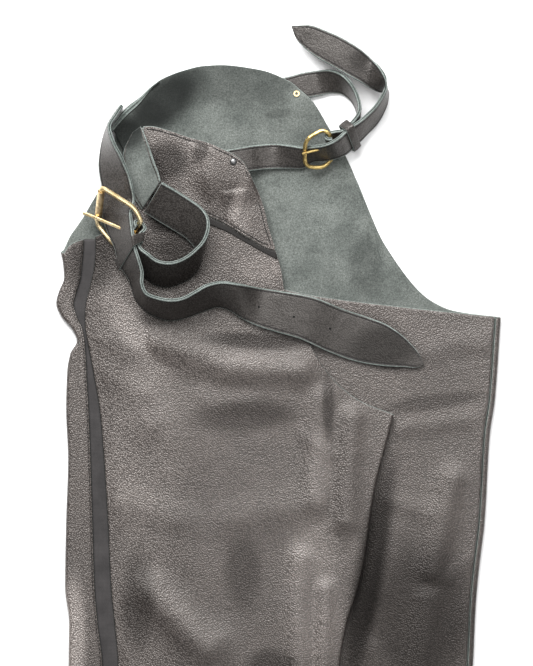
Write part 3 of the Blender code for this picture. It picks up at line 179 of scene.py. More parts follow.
BILLET_ROWS: Table = (
    (226, 150.5, 229, 175, 0, 24.7), (240, 148, 242, 173, 0.8, 25.1),
    (249.5, 146.3, 251.5, 171.3, 5.8, 25.1), (260, 145, 261, 170, 2.4, 25),
    (275, 144, 275, 169, 0, 25), (290, 145.5, 290, 168.5, 0, 25), (303, 147.5, 303, 168, 0, 25),
    (313, 147, 313, 161.5, 0.5, 25), (322, 146, 325, 160.5, 3.5, 25),
    (331, 143, 336, 158.5, 9.2, 25), (338.5, 138, 345, 155, 8, 25), (345, 132, 352, 149, 7.2, 25),
    (352, 126.5, 358.5, 143, 6.6, 25), (360, 121, 366.5, 134.5, 3.4, 25),
    (368, 114, 377, 123, 0, 25), (375, 107, 383, 112.5, 0, 25), (381, 98, 387, 100.5, 0, 25),
    (385, 89, 386.5, 90.5, 4, 25), (385.5, 81, 381, 92, 9, 25), (380.5, 70, 372, 89.5, 14, 25),
    (372, 60.5, 360, 83, 17.5, 25), (360, 50, 346.5, 75.5, 18.5, 25),
    (347.5, 42, 333.5, 68, 18, 25), (328, 32.5, 314, 56.5, 16.5, 25),
    (309, 26, 302, 46.5, 14.5, 21.7), (295, 26.5, 294.5, 36, 13, 9.5),
)
SHORT_STRAP_ROWS: Table = (
    (278, 79, 281, 104, 1.7, 25), (291, 76, 295, 101, 1.6, 25), (302, 73, 308, 98, 1.6, 25),
    (316, 71, 320, 96, 0.6, 25), (331, 70.5, 332, 93, 0, 25), (342, 75, 342, 93.5, 0, 25),
    (350, 83, 349, 98, 0, 25), (355, 91.5, 354, 104, 0, 25), (358.5, 101, 357, 110.5, 0.5, 25),
    (359.5, 109, 358.5, 118.5, 2, 25),
)


def soft_step(t: Array) -> Array:
    """A soft step from 0 at t = 0 to 1 at t = 1."""
    return 0.5 - 0.5 * np.cos(np.pi * np.clip(t, 0.0, 1.0))


def read(table: Table, key: Array | float, column: int = 1) -> Array:
    """Reads a table's column along straight lines, held past its ends.

    Args:
        table: Rows that grow in their first column.
        key: Where to read it, as that first column is given.
        column: The column to read.

    Returns:
        The values, one for each key.
    """
    rows = np.array(table)
    return np.interp(key, rows[:, 0], rows[:, column])


def read_soft(table: Table, key: Array | float, column: int = 1) -> Array:
    """Reads a table's column along a smooth curve that never passes its rows' values.

    Args:
        table: Rows that grow in their first column.
        key: Where to read it.
        column: The column to read.

    Returns:
        The values, one for each key.
    """
    rows = np.array(table)
    x, y = rows[:, 0], rows[:, column]
    step = np.diff(x)
    slope = np.diff(y) / step
    same = slope[:-1] * slope[1:] > 0
    safe = np.where(same, slope[:-1] + slope[1:], 1.0)
    middle = np.where(same, 2.0 * slope[:-1] * slope[1:] / safe, 0.0)
    tangent = np.concatenate([slope[:1], middle, slope[-1:]])
    at = np.clip(np.asarray(key, float), x[0], x[-1])
    index = np.clip(np.searchsorted(x, at, side="right") - 1, 0, len(x) - 2)
    t = (at - x[index]) / step[index]
    run = step[index]
    first = y[index] * (1 + 2 * t) * (1 - t) ** 2 + tangent[index] * run * t * (1 - t) ** 2
    second = y[index + 1] * t * t * (3 - 2 * t) + tangent[index + 1] * run * t * t * (t - 1)
    return first + second


def outline(table: Table, column: int = 1) -> Edge:
    """A table's column as a function that reads it along a smooth curve."""
    return lambda key: read_soft(table, key, column)


def curve_through(points: Array, steps: int) -> Array:
    """A smooth curve through points of any number of columns.

    Args:
        points: One row for each point; the first three columns set the spacing.
        steps: How many steps to take between one point and the next.

    Returns:
        The points of the curve, the given ones among them.
    """
    gaps = np.linalg.norm(np.diff(points[:, :3], axis=0), axis=1)
    slope = np.diff(points, axis=0) / gaps[:, None]
    weight = gaps[:-1] / (gaps[:-1] + gaps[1:])
    middle = slope[:-1] * (1 - weight)[:, None] + slope[1:] * weight[:, None]
    tangent = np.concatenate([slope[:1], middle, slope[-1:]])
    made = []
    for index, gap in enumerate(gaps):
        t = np.linspace(0.0, 1.0, steps, endpoint=False)[:, None]
        start, end = points[index], points[index + 1]
        made.append(
            start * (1 + 2 * t) * (1 - t) ** 2
            + tangent[index] * gap * t * (1 - t) ** 2
            + end * t * t * (3 - 2 * t)
            + tangent[index + 1] * gap * t * t * (t - 1)
        )
    made.append(points[-1:])
    return np.concatenate(made)


def lattice_noise(across: Array, down: Array, size: float, seed: int) -> Array:
    """Soft noise from -1 to 1 over the table.

    Args:
        across: Places across, in millimetres.
        down: Places down, in millimetres.
        size: The distance between one swell and the next, in millimetres.
        seed: The pattern's number.

    Returns:
        The noise at each place.
    """
    side = 128
    heights = np.random.default_rng(seed).uniform(-1.0, 1.0, (side, side))
    x, y = across / size + 31.7, down / size + 17.3
    x0, y0 = np.floor(x).astype(int), np.floor(y).astype(int)
    u, v = soft_step(x - x0), soft_step(y - y0)
    a = heights[y0 % side, x0 % side]
    b = heights[y0 % side, (x0 + 1) % side]
    c = heights[(y0 + 1) % side, x0 % side]
    d = heights[(y0 + 1) % side, (x0 + 1) % side]
    return (a * (1 - u) + b * u) * (1 - v) + (c * (1 - u) + d * u) * v


def off_stretch(ends: tuple[float, float, float, float], across: Array, down: Array) -> Array:
    """How far each place is from a straight stretch, given by its two ends.

    Args:
        ends: Across and down of both ends.
        across: Places across.
        down: Places down.

    Returns:
        The distance at each place.
    """
    x0, y0, x1, y1 = ends
    run_x, run_y = x1 - x0, y1 - y0
    place_x, place_y = across - x0, down - y0
    along = (place_x * run_x + place_y * run_y) / (run_x**2 + run_y**2)
    along = np.clip(along, 0.0, 1.0)
    return np.hypot(place_x - along * run_x, place_y - along * run_y)


def ring_faces(rings: int, sides: int, first: int = 0) -> list[list[int]]:
    """The faces between rings of points that follow one another.

    Args:
        rings: How many rings there are.
        sides: How many points a ring has.
        first: The first point's index.

    Returns:
        The faces, as indexes of points.
    """
    faces = []
    for ring in range(rings - 1):
        for side in range(sides):
            a = first + ring * sides + side
            b = first + ring * sides + (side + 1) % sides
            faces.append([a, b, b + sides, a + sides])
    return faces


def repeated(faces: list[list[int]], times: int, step: int) -> Array:
    """One part's faces, once for each of the parts that follow one another by step points."""
    offsets = np.arange(times) * step
    return (np.array(faces)[None] + offsets[:, None, None]).reshape(-1, 4)


def ridge_height(ridges: Table, across: Array, down: Array, uneven: float = 0.0) -> Array:
    """The height that the soft ridges of a panel add.

    Args:
        ridges: Rows of a ridge's two ends, its half width and its height.
        across: Places across, in millimetres.
        down: Places down, in millimetres.
        uneven: How far the ridges wander from straight, in millimetres.

    Returns:
        The height at each place, in millimetres.
    """
    if uneven:
        across = across + uneven * lattice_noise(across, down, 34.0, 5)
        down = down + uneven * lattice_noise(across, down, 41.0, 6)
    total = np.zeros(np.broadcast(across, down).shape)
    for x0, y0, x1, y1, half, high in ridges:
        off = off_stretch((x0, y0, x1, y1), across, down) / half
        total = np.maximum(total, high * np.exp(-off * off))
    return total


@dataclass(frozen=True)
class Lay:
    """How the folded garment lies: the height of the middle of each layer, in millimetres."""

    centre_across: float = 278.8
    centre_down: float = 610.0
    hem_a: float = 1195.0
    hem_b: float = 1098.0
    leather: float = 1.6
    tape: float = 1.0
    gap: float = 0.3
    layer_step: float = 2.05
    step_out: float = 83.0
    step_fade: float = 79.0
    zip_room: float = 2.0
    zip_reach: float = 14.0
    zip_fade: float = 45.0
    fold_puff: float = 2.6
    fold_puff_wide: float = 15.0
    strip_puff: float = 1.2
    strip_puff_wide: float = 9.0
    inseam_puff_start: float = 380.0
    inseam_puff_fade: float = 50.0
    far_yoke_gap: float = 0.9
    far_yoke_reach: float = 4.0
    far_yoke_fade: float = 30.0
    yoke_step: float = 2.0
    bump_fade: float = 16.0
    slider_up: float = 42.0
    slider_bump: float = 7.5
    slider_bump_wide: float = 115.0

    def place(self, across: Array, down: Array, height: Array) -> Array:
        """Points in the model's frame, in millimetres, on a last axis of three."""
        across, down, height = np.broadcast_arrays(across, down, height)
        return np.stack([across - self.centre_across, self.centre_down - down, height], axis=-1)

    def over_slider(self, across: Array, down: Array) -> Array:
        """How far leg B stands clear of the zip slider under it.

        Args:
            across: Places across.
            down: Places down.

        Returns:
            The height at each place.
        """
        y = self.hem_b - self.slider_up
        x = (read(OUTSEAM_B, y, 2) + read(OUTSEAM_B, y, 3)) / 2
        off = np.hypot(across - x, down - y) / self.slider_bump_wide
        return self.slider_bump * np.exp(-off * off)

    def front_b(self, across: Array, down: Array) -> Array:
        """The height of leg B's front, the lowest layer.

        Args:
            across: Places across.
            down: Places down.

        Returns:
            The height at each place.
        """
        past = down - read(YOKE_BOTTOM_B, across) - self.far_yoke_reach
        lift = (self.leather + self.far_yoke_gap) * (1.0 - soft_step(past / self.far_yoke_fade))
        lift = lift + ridge_height(RIDGES_FAR, across, down)
        return self.leather / 2 + lift + self.over_slider(across, down)

    def room(self, table: Table, across: Array, down: Array) -> Array:
        """The room between two layers beside a zip."""
        past = across - read(table, down, 3) - self.zip_reach
        return self.zip_room * (1.0 - soft_step(past / self.zip_fade))

    def back_b(self, across: Array, down: Array) -> Array:
        """The height of leg B's back, over its front.

        Args:
            across: Places across.
            down: Places down.

        Returns:
            The height at each place.
        """
        far = np.maximum(read(INSEAM_B, down) - across, 0.0)
        puff = self.fold_puff * np.exp(-far / self.fold_puff_wide)
        height = self.leather / 2 + self.layer_step + self.over_slider(across, down)
        ridges = ridge_height(RIDGES_B, across, down)
        return height + self.room(OUTSEAM_B, across, down) + puff + ridges

    def back_a(self, across: Array, down: Array) -> Array:
        """The height of leg A's back: on the table at the left and the hem, else on leg B.

        Args:
            across: Places across.
            down: Places down.

        Returns:
            The height at each place.
        """
        over = soft_step((across - read(OUTSEAM_B, down) + self.step_out) / self.step_fade)
        over = over * soft_step((self.hem_b + self.step_out - down) / self.step_fade)
        top_b = self.leather + self.layer_step + self.zip_room + self.gap
        return self.leather / 2 + over * top_b + self.over_slider(across, down)

    def front_a_flat(self, across: Array, down: Array) -> Array:
        """The height of leg A's front without its folds."""
        return self.back_a(across, down) + self.layer_step + self.room(OUTSEAM_A, across, down)

    def front_a(self, across: Array, down: Array) -> Array:
        """The height of leg A's front.

        Args:
            across: Places across.
            down: Places down.

        Returns:
            The height at each place.
        """
        far = np.maximum(read(INSEAM_A, down) - across, 0.0)
        puff = self.fold_puff * np.exp(-far / self.fold_puff_wide)
        puff = puff * soft_step((down - self.inseam_puff_start) / self.inseam_puff_fade)
        return self.front_a_flat(across, down) + puff + ridge_height(RIDGES_A, across, down)

    def strip_a(self, across: Array, down: Array) -> Array:
        """The height of the strip of leg A's back that comes round the outer fold.

        Args:
            across: Places across.
            down: Places down.

        Returns:
            The height at each place.
        """
        far = np.maximum(across - read(OUTSEAM_A, down), 0.0)
        puff = self.strip_puff * np.exp(-far / self.strip_puff_wide)
        return self.back_a(across, down) + self.layer_step + self.zip_room + puff

    def strap_bump(self, across: Array, down: Array) -> Array:
        """How far the yoke stands over the end of the front strap.

        Args:
            across: Places across.
            down: Places down.

        Returns:
            The height at each place.
        """
        *ends, flat, high = STRAP_BUMP
        off = off_stretch(tuple(ends), across, down)
        return high * (1.0 - soft_step((off - flat) / self.bump_fade))

    def yoke_a(self, across: Array, down: Array) -> Array:
        """The height of leg A's yoke, on its front.

        Args:
            across: Places across.
            down: Places down.

        Returns:
            The height at each place.
        """
        ridge = ridge_height(RIDGES_YOKE, across, down)
        ridge = np.maximum(ridge, self.strap_bump(across, down))
        return self.front_a_flat(across, down) + self.yoke_step + ridge

    def top(self, across: Array, down: Array, yoke: bool = True) -> Array:
        """The top of whatever panel is uppermost.

        Args:
            across: Places across, in millimetres.
            down: Places down, in millimetres.
            yoke: Whether leg A's yoke counts as a panel.

        Returns:
            The height at each place, in millimetres.
        """
        across, down = np.asarray(across, float), np.asarray(down, float)
        half = self.leather / 2
        height = np.zeros(np.broadcast(across, down).shape)
        on_b = (across >= WAIST_B[0][0]) & (across <= WAIST_B[-1][0])
        on_b = on_b & (read(WAIST_B, across) <= down) & (down <= self.hem_b)
        height = np.where(on_b, self.front_b(across, down) + half, height)
        inside = (read(OUTSEAM_B, down) <= across) & (across <= read(INSEAM_B, down))
        on_back = on_b & inside & (down >= read(BACK_TOP_B, across))
        height = np.where(on_back, self.back_b(across, down) + half, height)
        on_a = (across >= BACK_TOP_A[0][0]) & (across <= BACK_TOP_A[-1][0])
        on_a = on_a & (read(BACK_TOP_A, across) <= down)
        height = np.where(on_a, self.back_a(across, down) + half, height)
        front = (across >= WAIST_A[0][0]) & (across <= WAIST_A[-1][0])
        front = front & (down >= read(WAIST_A, across)) & (down <= self.hem_a)
        front = front & (read(OUTSEAM_A, down, 3) <= across) & (across <= read(INSEAM_A, down))
        height = np.where(front, self.front_a(across, down) + half, height)
        beside = (YOKE_BOTTOM_A[0][0] < across) & (across < YOKE_BOTTOM_A[-1][0])
        over = front & beside & (down < read(YOKE_BOTTOM_A, across))
        if yoke:
            height = np.where(over, self.yoke_a(across, down) + half, height)
        return height


LAY = Lay()


class Look(Enum):
    """The finishes of the chaps."""

    GRAIN = "grain"
    SUEDE = "suede"
    EDGE = "edge"
    STRAP = "strap"
    STRAP_EDGE = "strap_edge"
    PLY_LINE = "ply_line"
    TAPE = "tape"
    THREAD = "thread"
    PALE_BRASS = "pale_brass"
    ROLLER = "roller"
    OLD_BRASS = "old_brass"
    GUNMETAL = "gunmetal"
    PAINTED_HOLE_SHADE = "hole"
    SEAM = "seam"


@dataclass
class Nodes:
    """A material's node tree, with short ways to add and join nodes."""

    name: str
    material: bpy.types.Material = field(init=False)
    shader: bpy.types.Node = field(init=False)
    object_place: Socket = field(init=False)

    def __post_init__(self) -> None:
        """Makes the material and its first nodes."""
        self.material = bpy.data.materials.new(self.name)
        self.material.use_nodes = True
        self.shader = self.material.node_tree.nodes["Principled BSDF"]
        self.object_place = self.add("ShaderNodeTexCoord").outputs["Object"]

    def add(self, kind: str, **settings: object) -> bpy.types.Node:
        """Adds a node.

        Args:
            kind: The node's type name.
            **settings: What to give it.

        Returns:
            The node.
        """
        node = self.material.node_tree.nodes.new(kind)
        self.give(node, **settings)
        return node

    def give(self, node: bpy.types.Node, **settings: object) -> None:
        """Gives a node settings.

        Args:
            node: The node.
            **settings: Its inputs' values, or the outputs that they are joined to, and its
                attributes. Underscores stand for spaces.
        """
        for key, value in settings.items():
            name = key.replace("_", " ").title().replace("Ior", "IOR")
            if name in node.inputs:
                self.feed(node.inputs[name], value)
            else:
                setattr(node, key, value)

    def feed(self, socket: Socket, value: object) -> None:
        """Joins an output to a socket, or sets the socket's own value.

        Args:
            socket: The socket.
            value: The output to join, or the value to set.
        """
        if isinstance(value, Socket):
            self.material.node_tree.links.new(value, socket)
        else:
            socket.default_value = value

    def compute(self, operation: str, *values: object) -> Socket:
        """Works out one number from others.

        Args:
            operation: The sum to do.
            *values: Its numbers, or the outputs that give them.

        Returns:
            The result's output.
        """
        node = self.add("ShaderNodeMath", operation=operation)
        for socket, value in zip(node.inputs, values):
            self.feed(socket, value)
        return node.outputs[0]

    def noise(self, scale: float, detail: float = 3.0, rough: float = 0.5) -> Socket:
        """A noise over the piece, from 0 to 1.

        Args:
            scale: How many swells to a metre.
            detail: How many finer layers it has.
            rough: How strong those layers are.

        Returns:
            The noise's output.
        """
        return self.add(
            "ShaderNodeTexNoise",
            scale=scale,
            detail=detail,
            roughness=rough,
            vector=self.object_place,
        ).outputs["Fac"]

    def stretched_noise(self, scales: Colour) -> Socket:
        """A noise that is drawn out along one way.

        Args:
            scales: How many swells to a metre along each axis.

        Returns:
            The noise's output.
        """
        mapping = self.add("ShaderNodeMapping", scale=scales, vector=self.object_place)
        node = self.add("ShaderNodeTexNoise", scale=1.0, detail=4.0, roughness=0.6)
        self.give(node, vector=mapping.outputs["Vector"])
        return node.outputs["Fac"]

    def ramp(
        self,
        source: Socket,
        low: tuple[float, Colour],
        high: tuple[float, Colour],
    ) -> Socket:
        """A colour ramp with two stops.

        Args:
            source: What drives it.
            low: The first stop's place and colour.
            high: The second stop's place and colour.

        Returns:
            The ramp's colour output.
        """
        node = self.add("ShaderNodeValToRGB", fac=source)
        for stop, (place, colour) in zip(node.color_ramp.elements, (low, high)):
            stop.position = place
            stop.color = (*colour, 1.0)
        return node.outputs["Color"]

    def reach(
        self,
        source: Socket,
        start: tuple[float, float],
        end: tuple[float, float],
        way: str = "LINEAR",
    ) -> Socket:
        """Carries a value from one reach to another.

        Args:
            source: The value.
            start: The reach it comes from.
            end: The reach it goes to.
            way: How it goes between them.

        Returns:
            The new value's output.
        """
        node = self.add("ShaderNodeMapRange", interpolation_type=way, value=source)
        self.give(node, from_min=start[0], from_max=start[1], to_min=end[0], to_max=end[1])
        return node.outputs["Result"]

    def mix(
        self,
        kind: str,
        amount: float | Socket,
        first: Socket,
        second: Socket | Colour,
    ) -> Socket:
        """Mixes two colours.

        Args:
            kind: The way they mix, such as MIX or MULTIPLY.
            amount: How much of the second comes in.
            first: The first colour.
            second: The second colour.

        Returns:
            The mixed colour's output.
        """
        node = self.add("ShaderNodeMixRGB", blend_type=kind, fac=amount, color1=first)
        self.give(node, color2=(*second, 1.0) if isinstance(second, tuple) else second)
        return node.outputs["Color"]

    def bumps(self, *layers: tuple[Socket, float, float]) -> None:
        """Lays bumps on the shader, one over another.

        Args:
            *layers: Each one's height, strength and depth in metres.
        """
        last = None
        for height, strength, depth in layers:
            node = self.add("ShaderNodeBump", strength=strength, distance=depth, height=height)
            if last is not None:
                self.give(node, normal=last)
            last = node.outputs["Normal"]
        self.plain(normal=last)

    def shade(self, patches: Table) -> Socket:
        """Painted light and shade: a gain over the piece, 1, lower in soft patches of painted
        shade and higher in soft patches of painted light.

        Args:
            patches: Each one's place across and down, its reach along both, its turn in
                degrees, and its gain.

        Returns:
            The gain's output.
        """
        gain_so_far = self.compute("ADD", 1.0, 0.0)
        for across, down, wide, high, turn, gain in patches:
            place = LAY.place(np.array(across), np.array(down), np.array(0.0)) * MM
            mapping = self.add(
                "ShaderNodeMapping",
                vector_type="TEXTURE",
                location=tuple(place),
                rotation=(0.0, 0.0, math.radians(turn)),
                scale=(wide * MM, high * MM, 1.0),
                vector=self.object_place,
            )
            off = self.add("ShaderNodeVectorMath", operation="LENGTH")
            self.feed(off.inputs[0], mapping.outputs["Vector"])
            fade = self.reach(off.outputs["Value"], (0.3, 1.0), (gain, 1.0), "SMOOTHERSTEP")
            gain_so_far = self.compute("MULTIPLY", gain_so_far, fade)
        return gain_so_far

    def plain(self, **values: object) -> None:
        """Gives the shader itself its settings."""
        self.give(self.shader, **values)


@dataclass(frozen=True)
class MilledLeather:
    """Grain leather: small soft pebbles, a little lighter on their tops, with painted shade in the
    grooves between them and soft patches of painted light and shade.
    """

    name: str
    low: Colour
    high: Colour
    # Soft patches of painted light and shade, which scale the colour and the gloss.
    patches: Table = ()
    pebble: float = 690.0
    rough: float = 0.4
    shine: float = 1.0
    depth: float = 0.00055
    crinkle: float = 0.0004
    crinkles: float = 70.0

    def build(self) -> bpy.types.Material:
        """Makes the material.

        Returns:
            The material.
        """
        made = Nodes(self.name)
        warp = made.add("ShaderNodeVectorMath", operation="MULTIPLY_ADD")
        spread = made.add("ShaderNodeTexNoise", scale=420.0, detail=1.0, vector=made.object_place)
        warped = (spread.outputs["Color"], (0.0009, 0.0009, 0.0009), made.object_place)
        for socket, value in zip(warp.inputs, warped):
            made.feed(socket, value)
        cells = made.add(
            "ShaderNodeTexVoronoi", feature="F1", scale=self.pebble, vector=warp.outputs[0]
        )
        pebble = made.reach(cells.outputs["Distance"], (0.08, 0.72), (1.0, 0.0))
        patches = made.noise(14.0, 4.0, 0.55)
        fine = made.noise(2100.0, 3.0, 0.6)
        crinkle = made.noise(self.crinkles, 3.0, 0.5)
        colour = made.ramp(patches, (0.3, self.low), (0.72, self.high))
        # Painted shade: the colour is darkened in the grooves between the pebbles.
        groove = made.ramp(pebble, (0.05, (0.3, 0.28, 0.27)), (0.55, (1.0, 1.0, 1.0)))
        colour = made.mix("MULTIPLY", 0.9, colour, groove)
        # The pebbles' tops are mixed towards a lighter colour.
        lighter_tops = made.reach(pebble, (0.66, 1.0), (0.0, 0.55))
        colour = made.mix("MIX", lighter_tops, colour, tuple(min(1.0, c * 1.8) for c in self.high))
        # Painted light and shade: the patches' gain scales the colour here and the gloss below.
        shade = made.shade(self.patches)
        colour = made.mix("MULTIPLY", 1.0, colour, shade)
        made.bumps((crinkle, 0.5, self.crinkle), (pebble, 0.7, self.depth), (fine, 0.25, 0.00012))
        made.plain(
            base_color=colour,
            specular_ior_level=made.compute("MULTIPLY", shade, self.shine),
            roughness=made.reach(fine, (0.3, 0.75), (self.rough - 0.08, self.rough + 0.12)),
            sheen_weight=0.02,
            sheen_roughness=0.5,
            specular_tint=(1.0, 0.945, 0.9, 1.0),
        )
        return made.material


@dataclass(frozen=True)
class Nap:
    """Suede: a short fuzzy nap, brushed lighter and darker at random, with soft patches of painted
    light and shade.
    """

    name: str
    low: Colour
    high: Colour
    fibre: float = 1500.0
    sheen: float = 0.25
    # Soft patches of painted light and shade, which scale the colour.
    patches: Table = ()

    def build(self) -> bpy.types.Material:
        """Makes the material.

        Returns:
            The material.
        """
        made = Nodes(self.name)
        brushed = made.noise(26.0, 5.0, 0.6)
        mottle = made.noise(620.0, 4.0, 0.75)
        fibre = made.noise(self.fibre, 4.0, 0.75)
        colour = made.ramp(brushed, (0.34, self.low), (0.66, self.high))
        speckle = made.ramp(mottle, (0.36, (0.5, 0.5, 0.5)), (0.64, (1.4, 1.4, 1.4)))
        colour = made.mix("MULTIPLY", 0.85, colour, speckle)
        hairs = made.ramp(fibre, (0.36, (0.55, 0.55, 0.55)), (0.68, (1.45, 1.45, 1.45)))
        colour = made.mix("MULTIPLY", 0.75, colour, hairs)
        # Painted light and shade from the patches.
        colour = made.mix("MULTIPLY", 1.0, colour, made.shade(self.patches))
        made.bumps((mottle, 0.5, 0.0005), (fibre, 0.7, 0.0003))
        made.plain(
            base_color=colour,
            roughness=0.95,
            specular_ior_level=0.12,
            sheen_weight=self.sheen,
            sheen_roughness=0.6,
            sheen_tint=(0.72, 0.8, 0.76, 1.0),
        )
        return made.material


@dataclass(frozen=True)
class Weave:
    """Zip tape: a close, smooth weave."""

    name: str
    colour: Colour
    pitch: float = 1500.0

    def build(self) -> bpy.types.Material:
        """Makes the material.

        Returns:
            The material.
        """
        made = Nodes(self.name)
        waves = []
        for axis, along in (("X", (1.0, 0.15)), ("Y", (0.1, 1.0))):
            mapping = made.add("ShaderNodeMapping", scale=(*along, 0.2), vector=made.object_place)
            wave = made.add("ShaderNodeTexWave", bands_direction=axis, scale=self.pitch / 6.28)
            made.give(wave, distortion=0.4, vector=mapping.outputs["Vector"])
            waves.append(wave.outputs["Fac"])
        weave = made.compute("MULTIPLY", *waves)
        patches = made.noise(60.0, 3.0)
        low = tuple(c * 0.78 for c in self.colour)
        high = tuple(c * 1.3 for c in self.colour)
        colour = made.ramp(patches, (0.3, low), (0.7, high))
        shade = made.ramp(weave, (0.0, (0.75, 0.75, 0.75)), (0.7, (1.15, 1.15, 1.15)))
        colour = made.mix("MULTIPLY", 0.8, colour, shade)
        made.bumps((weave, 0.5, 0.00016))
        made.plain(base_color=colour, roughness=0.72, specular_ior_level=0.3, sheen_weight=0.12)
        return made.material


@dataclass(frozen=True)
class Metal:
    """Metal with a fine drawn surface, darker where it has tarnished."""

    name: str
    bright: Colour
    tarnished: Colour
    rough: float = 0.3
    spots: float = 90.0

    def build(self) -> bpy.types.Material:
        """Makes the material.

        Returns:
            The material.
        """
        made = Nodes(self.name)
        stain = made.noise(self.spots, 5.0, 0.65)
        fine = made.noise(1400.0, 2.0)
        drawn = made.stretched_noise((900.0, 120.0, 900.0))
        colour = made.ramp(stain, (0.34, self.tarnished), (0.6, self.bright))
        rough = made.reach(drawn, (0.3, 0.75), (self.rough - 0.06, self.rough + 0.16))
        made.bumps((fine, 0.18, 0.00012), (drawn, 0.22, 0.00016))
        made.plain(base_color=colour, roughness=rough, metallic=1.0)
        return made.material


@dataclass(frozen=True)
class Plain:
    """Something small or plain: thread, or the near-black painted shade that stands for the inside
    of a hole.
    """

    name: str
    colour: Colour
    rough: float = 0.8
    scale: float = 1200.0

    def build(self) -> bpy.types.Material:
        """Makes the material.

        Returns:
            The material.
        """
        made = Nodes(self.name)
        grain = made.noise(self.scale, 2.0)
        low = tuple(c * 0.7 for c in self.colour)
        high = tuple(min(1.0, c * 1.3) for c in self.colour)
        colour = made.ramp(grain, (0.3, low), (0.7, high))
        made.bumps((grain, 0.3, 0.00015))
        made.plain(base_color=colour, roughness=self.rough, specular_ior_level=0.25)
        return made.material


# Painted light and shade on the grain leather: soft patches darken the colour and the gloss where
# shadows fall under the straps and beside the folds, and lighten them on the ridges. Each row:
# place across and down, reach along both, turn in degrees, gain.
GRAIN_PAINTED_SHADING: Table = (
    (92, 262, 38, 48, 0, 0.4), (172, 245, 36, 50, 0, 0.6), (172, 222, 38, 20, 0, 0.3),
    (176, 270, 40, 16, 0, 0.4), (160, 318, 30, 14, 0, 0.5), (255, 341, 74, 13, -3, 0.4),
    (372, 342, 66, 32, -25, 0.16), (126, 322, 56, 20, -50, 1.5), (240, 366, 90, 15, 0, 1.2),
    (145, 450, 50, 150, 0, 1.3), (245, 415, 76, 24, 6, 0.6), (320, 468, 18, 56, 0, 1.5),
    (328, 405, 9, 46, 0, 0.55), (312, 590, 40, 110, 0, 1.5), (243, 572, 28, 56, 0, 0.6),
    (180, 617, 58, 18, -45, 1.15), (272, 664, 36, 22, 0, 0.5), (420, 620, 90, 120, 0, 0.4),
    (368, 580, 22, 180, -10.5, 0.25), (435, 402, 72, 12, 8, 0.65), (72, 640, 20, 90, 0, 2.4),
    (138, 600, 24, 70, 0, 0.55), (225, 200, 40, 50, 0, 0.85), (166, 162, 34, 30, 0, 0.35),
    (201, 152, 11, 17, -20, 0.45), (236, 205, 9, 40, -18, 1.5), (180, 248, 34, 18, 0, 0.5),
    (243, 212, 14, 40, 0, 1.4), (262, 268, 34, 20, 0, 1.3),
)
# Painted light and shade on the suede inside: deep painted shade at the upper left of leg B's
# waist, with lighter and darker patches elsewhere.
SUEDE_PAINTED_SHADING: Table = (
    (163, 104, 70, 34, 42, 0.12), (128, 134, 26, 26, 0, 0.2), (150, 112, 26, 20, 0, 0.45),
    (235, 80, 120, 40, 0, 0.5), (366, 268, 26, 46, 0, 0.65), (316, 206, 46, 50, 0, 1.2),
    (278, 114, 20, 7, 10, 0.6), (296, 94, 18, 12, 0, 1.35),
)
# Painted shade on the straps.
STRAP_PAINTED_SHADING: Table = ((388, 344, 60, 34, 15, 0.5), (365, 60, 26, 22, 30, 0.6))
FINISHES = {
    Look.GRAIN: MilledLeather(
        "milled_leather", (0.037, 0.029, 0.026), (0.062, 0.05, 0.0445), GRAIN_PAINTED_SHADING
    ),
    Look.SUEDE: Nap(
        "suede_inside", (0.085, 0.094, 0.087), (0.15, 0.162, 0.15), patches=SUEDE_PAINTED_SHADING
    ),
    Look.EDGE: Nap("raw_edge", (0.12, 0.14, 0.13), (0.22, 0.25, 0.235), 1500.0, 0.15),
    Look.STRAP: MilledLeather(
        "strap_leather",
        (0.026, 0.023, 0.021),
        (0.046, 0.042, 0.039),
        STRAP_PAINTED_SHADING,
        pebble=700.0,
        rough=0.38,
        shine=0.6,
        depth=0.00022,
        crinkle=0.0016,
    ),
    Look.STRAP_EDGE: Nap("strap_edge", (0.12, 0.14, 0.13), (0.23, 0.26, 0.245), 1500.0, 0.15),
    Look.PLY_LINE: Plain("ply_line", (0.02, 0.024, 0.022), 0.95),
    Look.TAPE: Weave("zip_tape_weave", (0.036, 0.033, 0.033)),
    Look.THREAD: Plain("thread", (0.018, 0.018, 0.018), 0.7, 2400.0),
    Look.PALE_BRASS: Metal("pale_brass", (0.88, 0.72, 0.44), (0.66, 0.5, 0.26), 0.28),
    Look.ROLLER: Metal("worn_roller", (0.78, 0.62, 0.38), (0.3, 0.21, 0.11), 0.36, 150.0),
    Look.OLD_BRASS: Metal("old_brass", (0.66, 0.5, 0.2), (0.3, 0.21, 0.08), 0.36, 160.0),
    Look.GUNMETAL: Metal("gunmetal", (0.2, 0.2, 0.2), (0.07, 0.07, 0.07), 0.34),
    # Near-black painted shade for the inside of the belt's holes.
    Look.PAINTED_HOLE_SHADE: Plain("painted_hole_shade", (0.006, 0.006, 0.006), 1.0),
    Look.SEAM: Plain("sunk_seam", (0.014, 0.0125, 0.0115), 0.6),
}


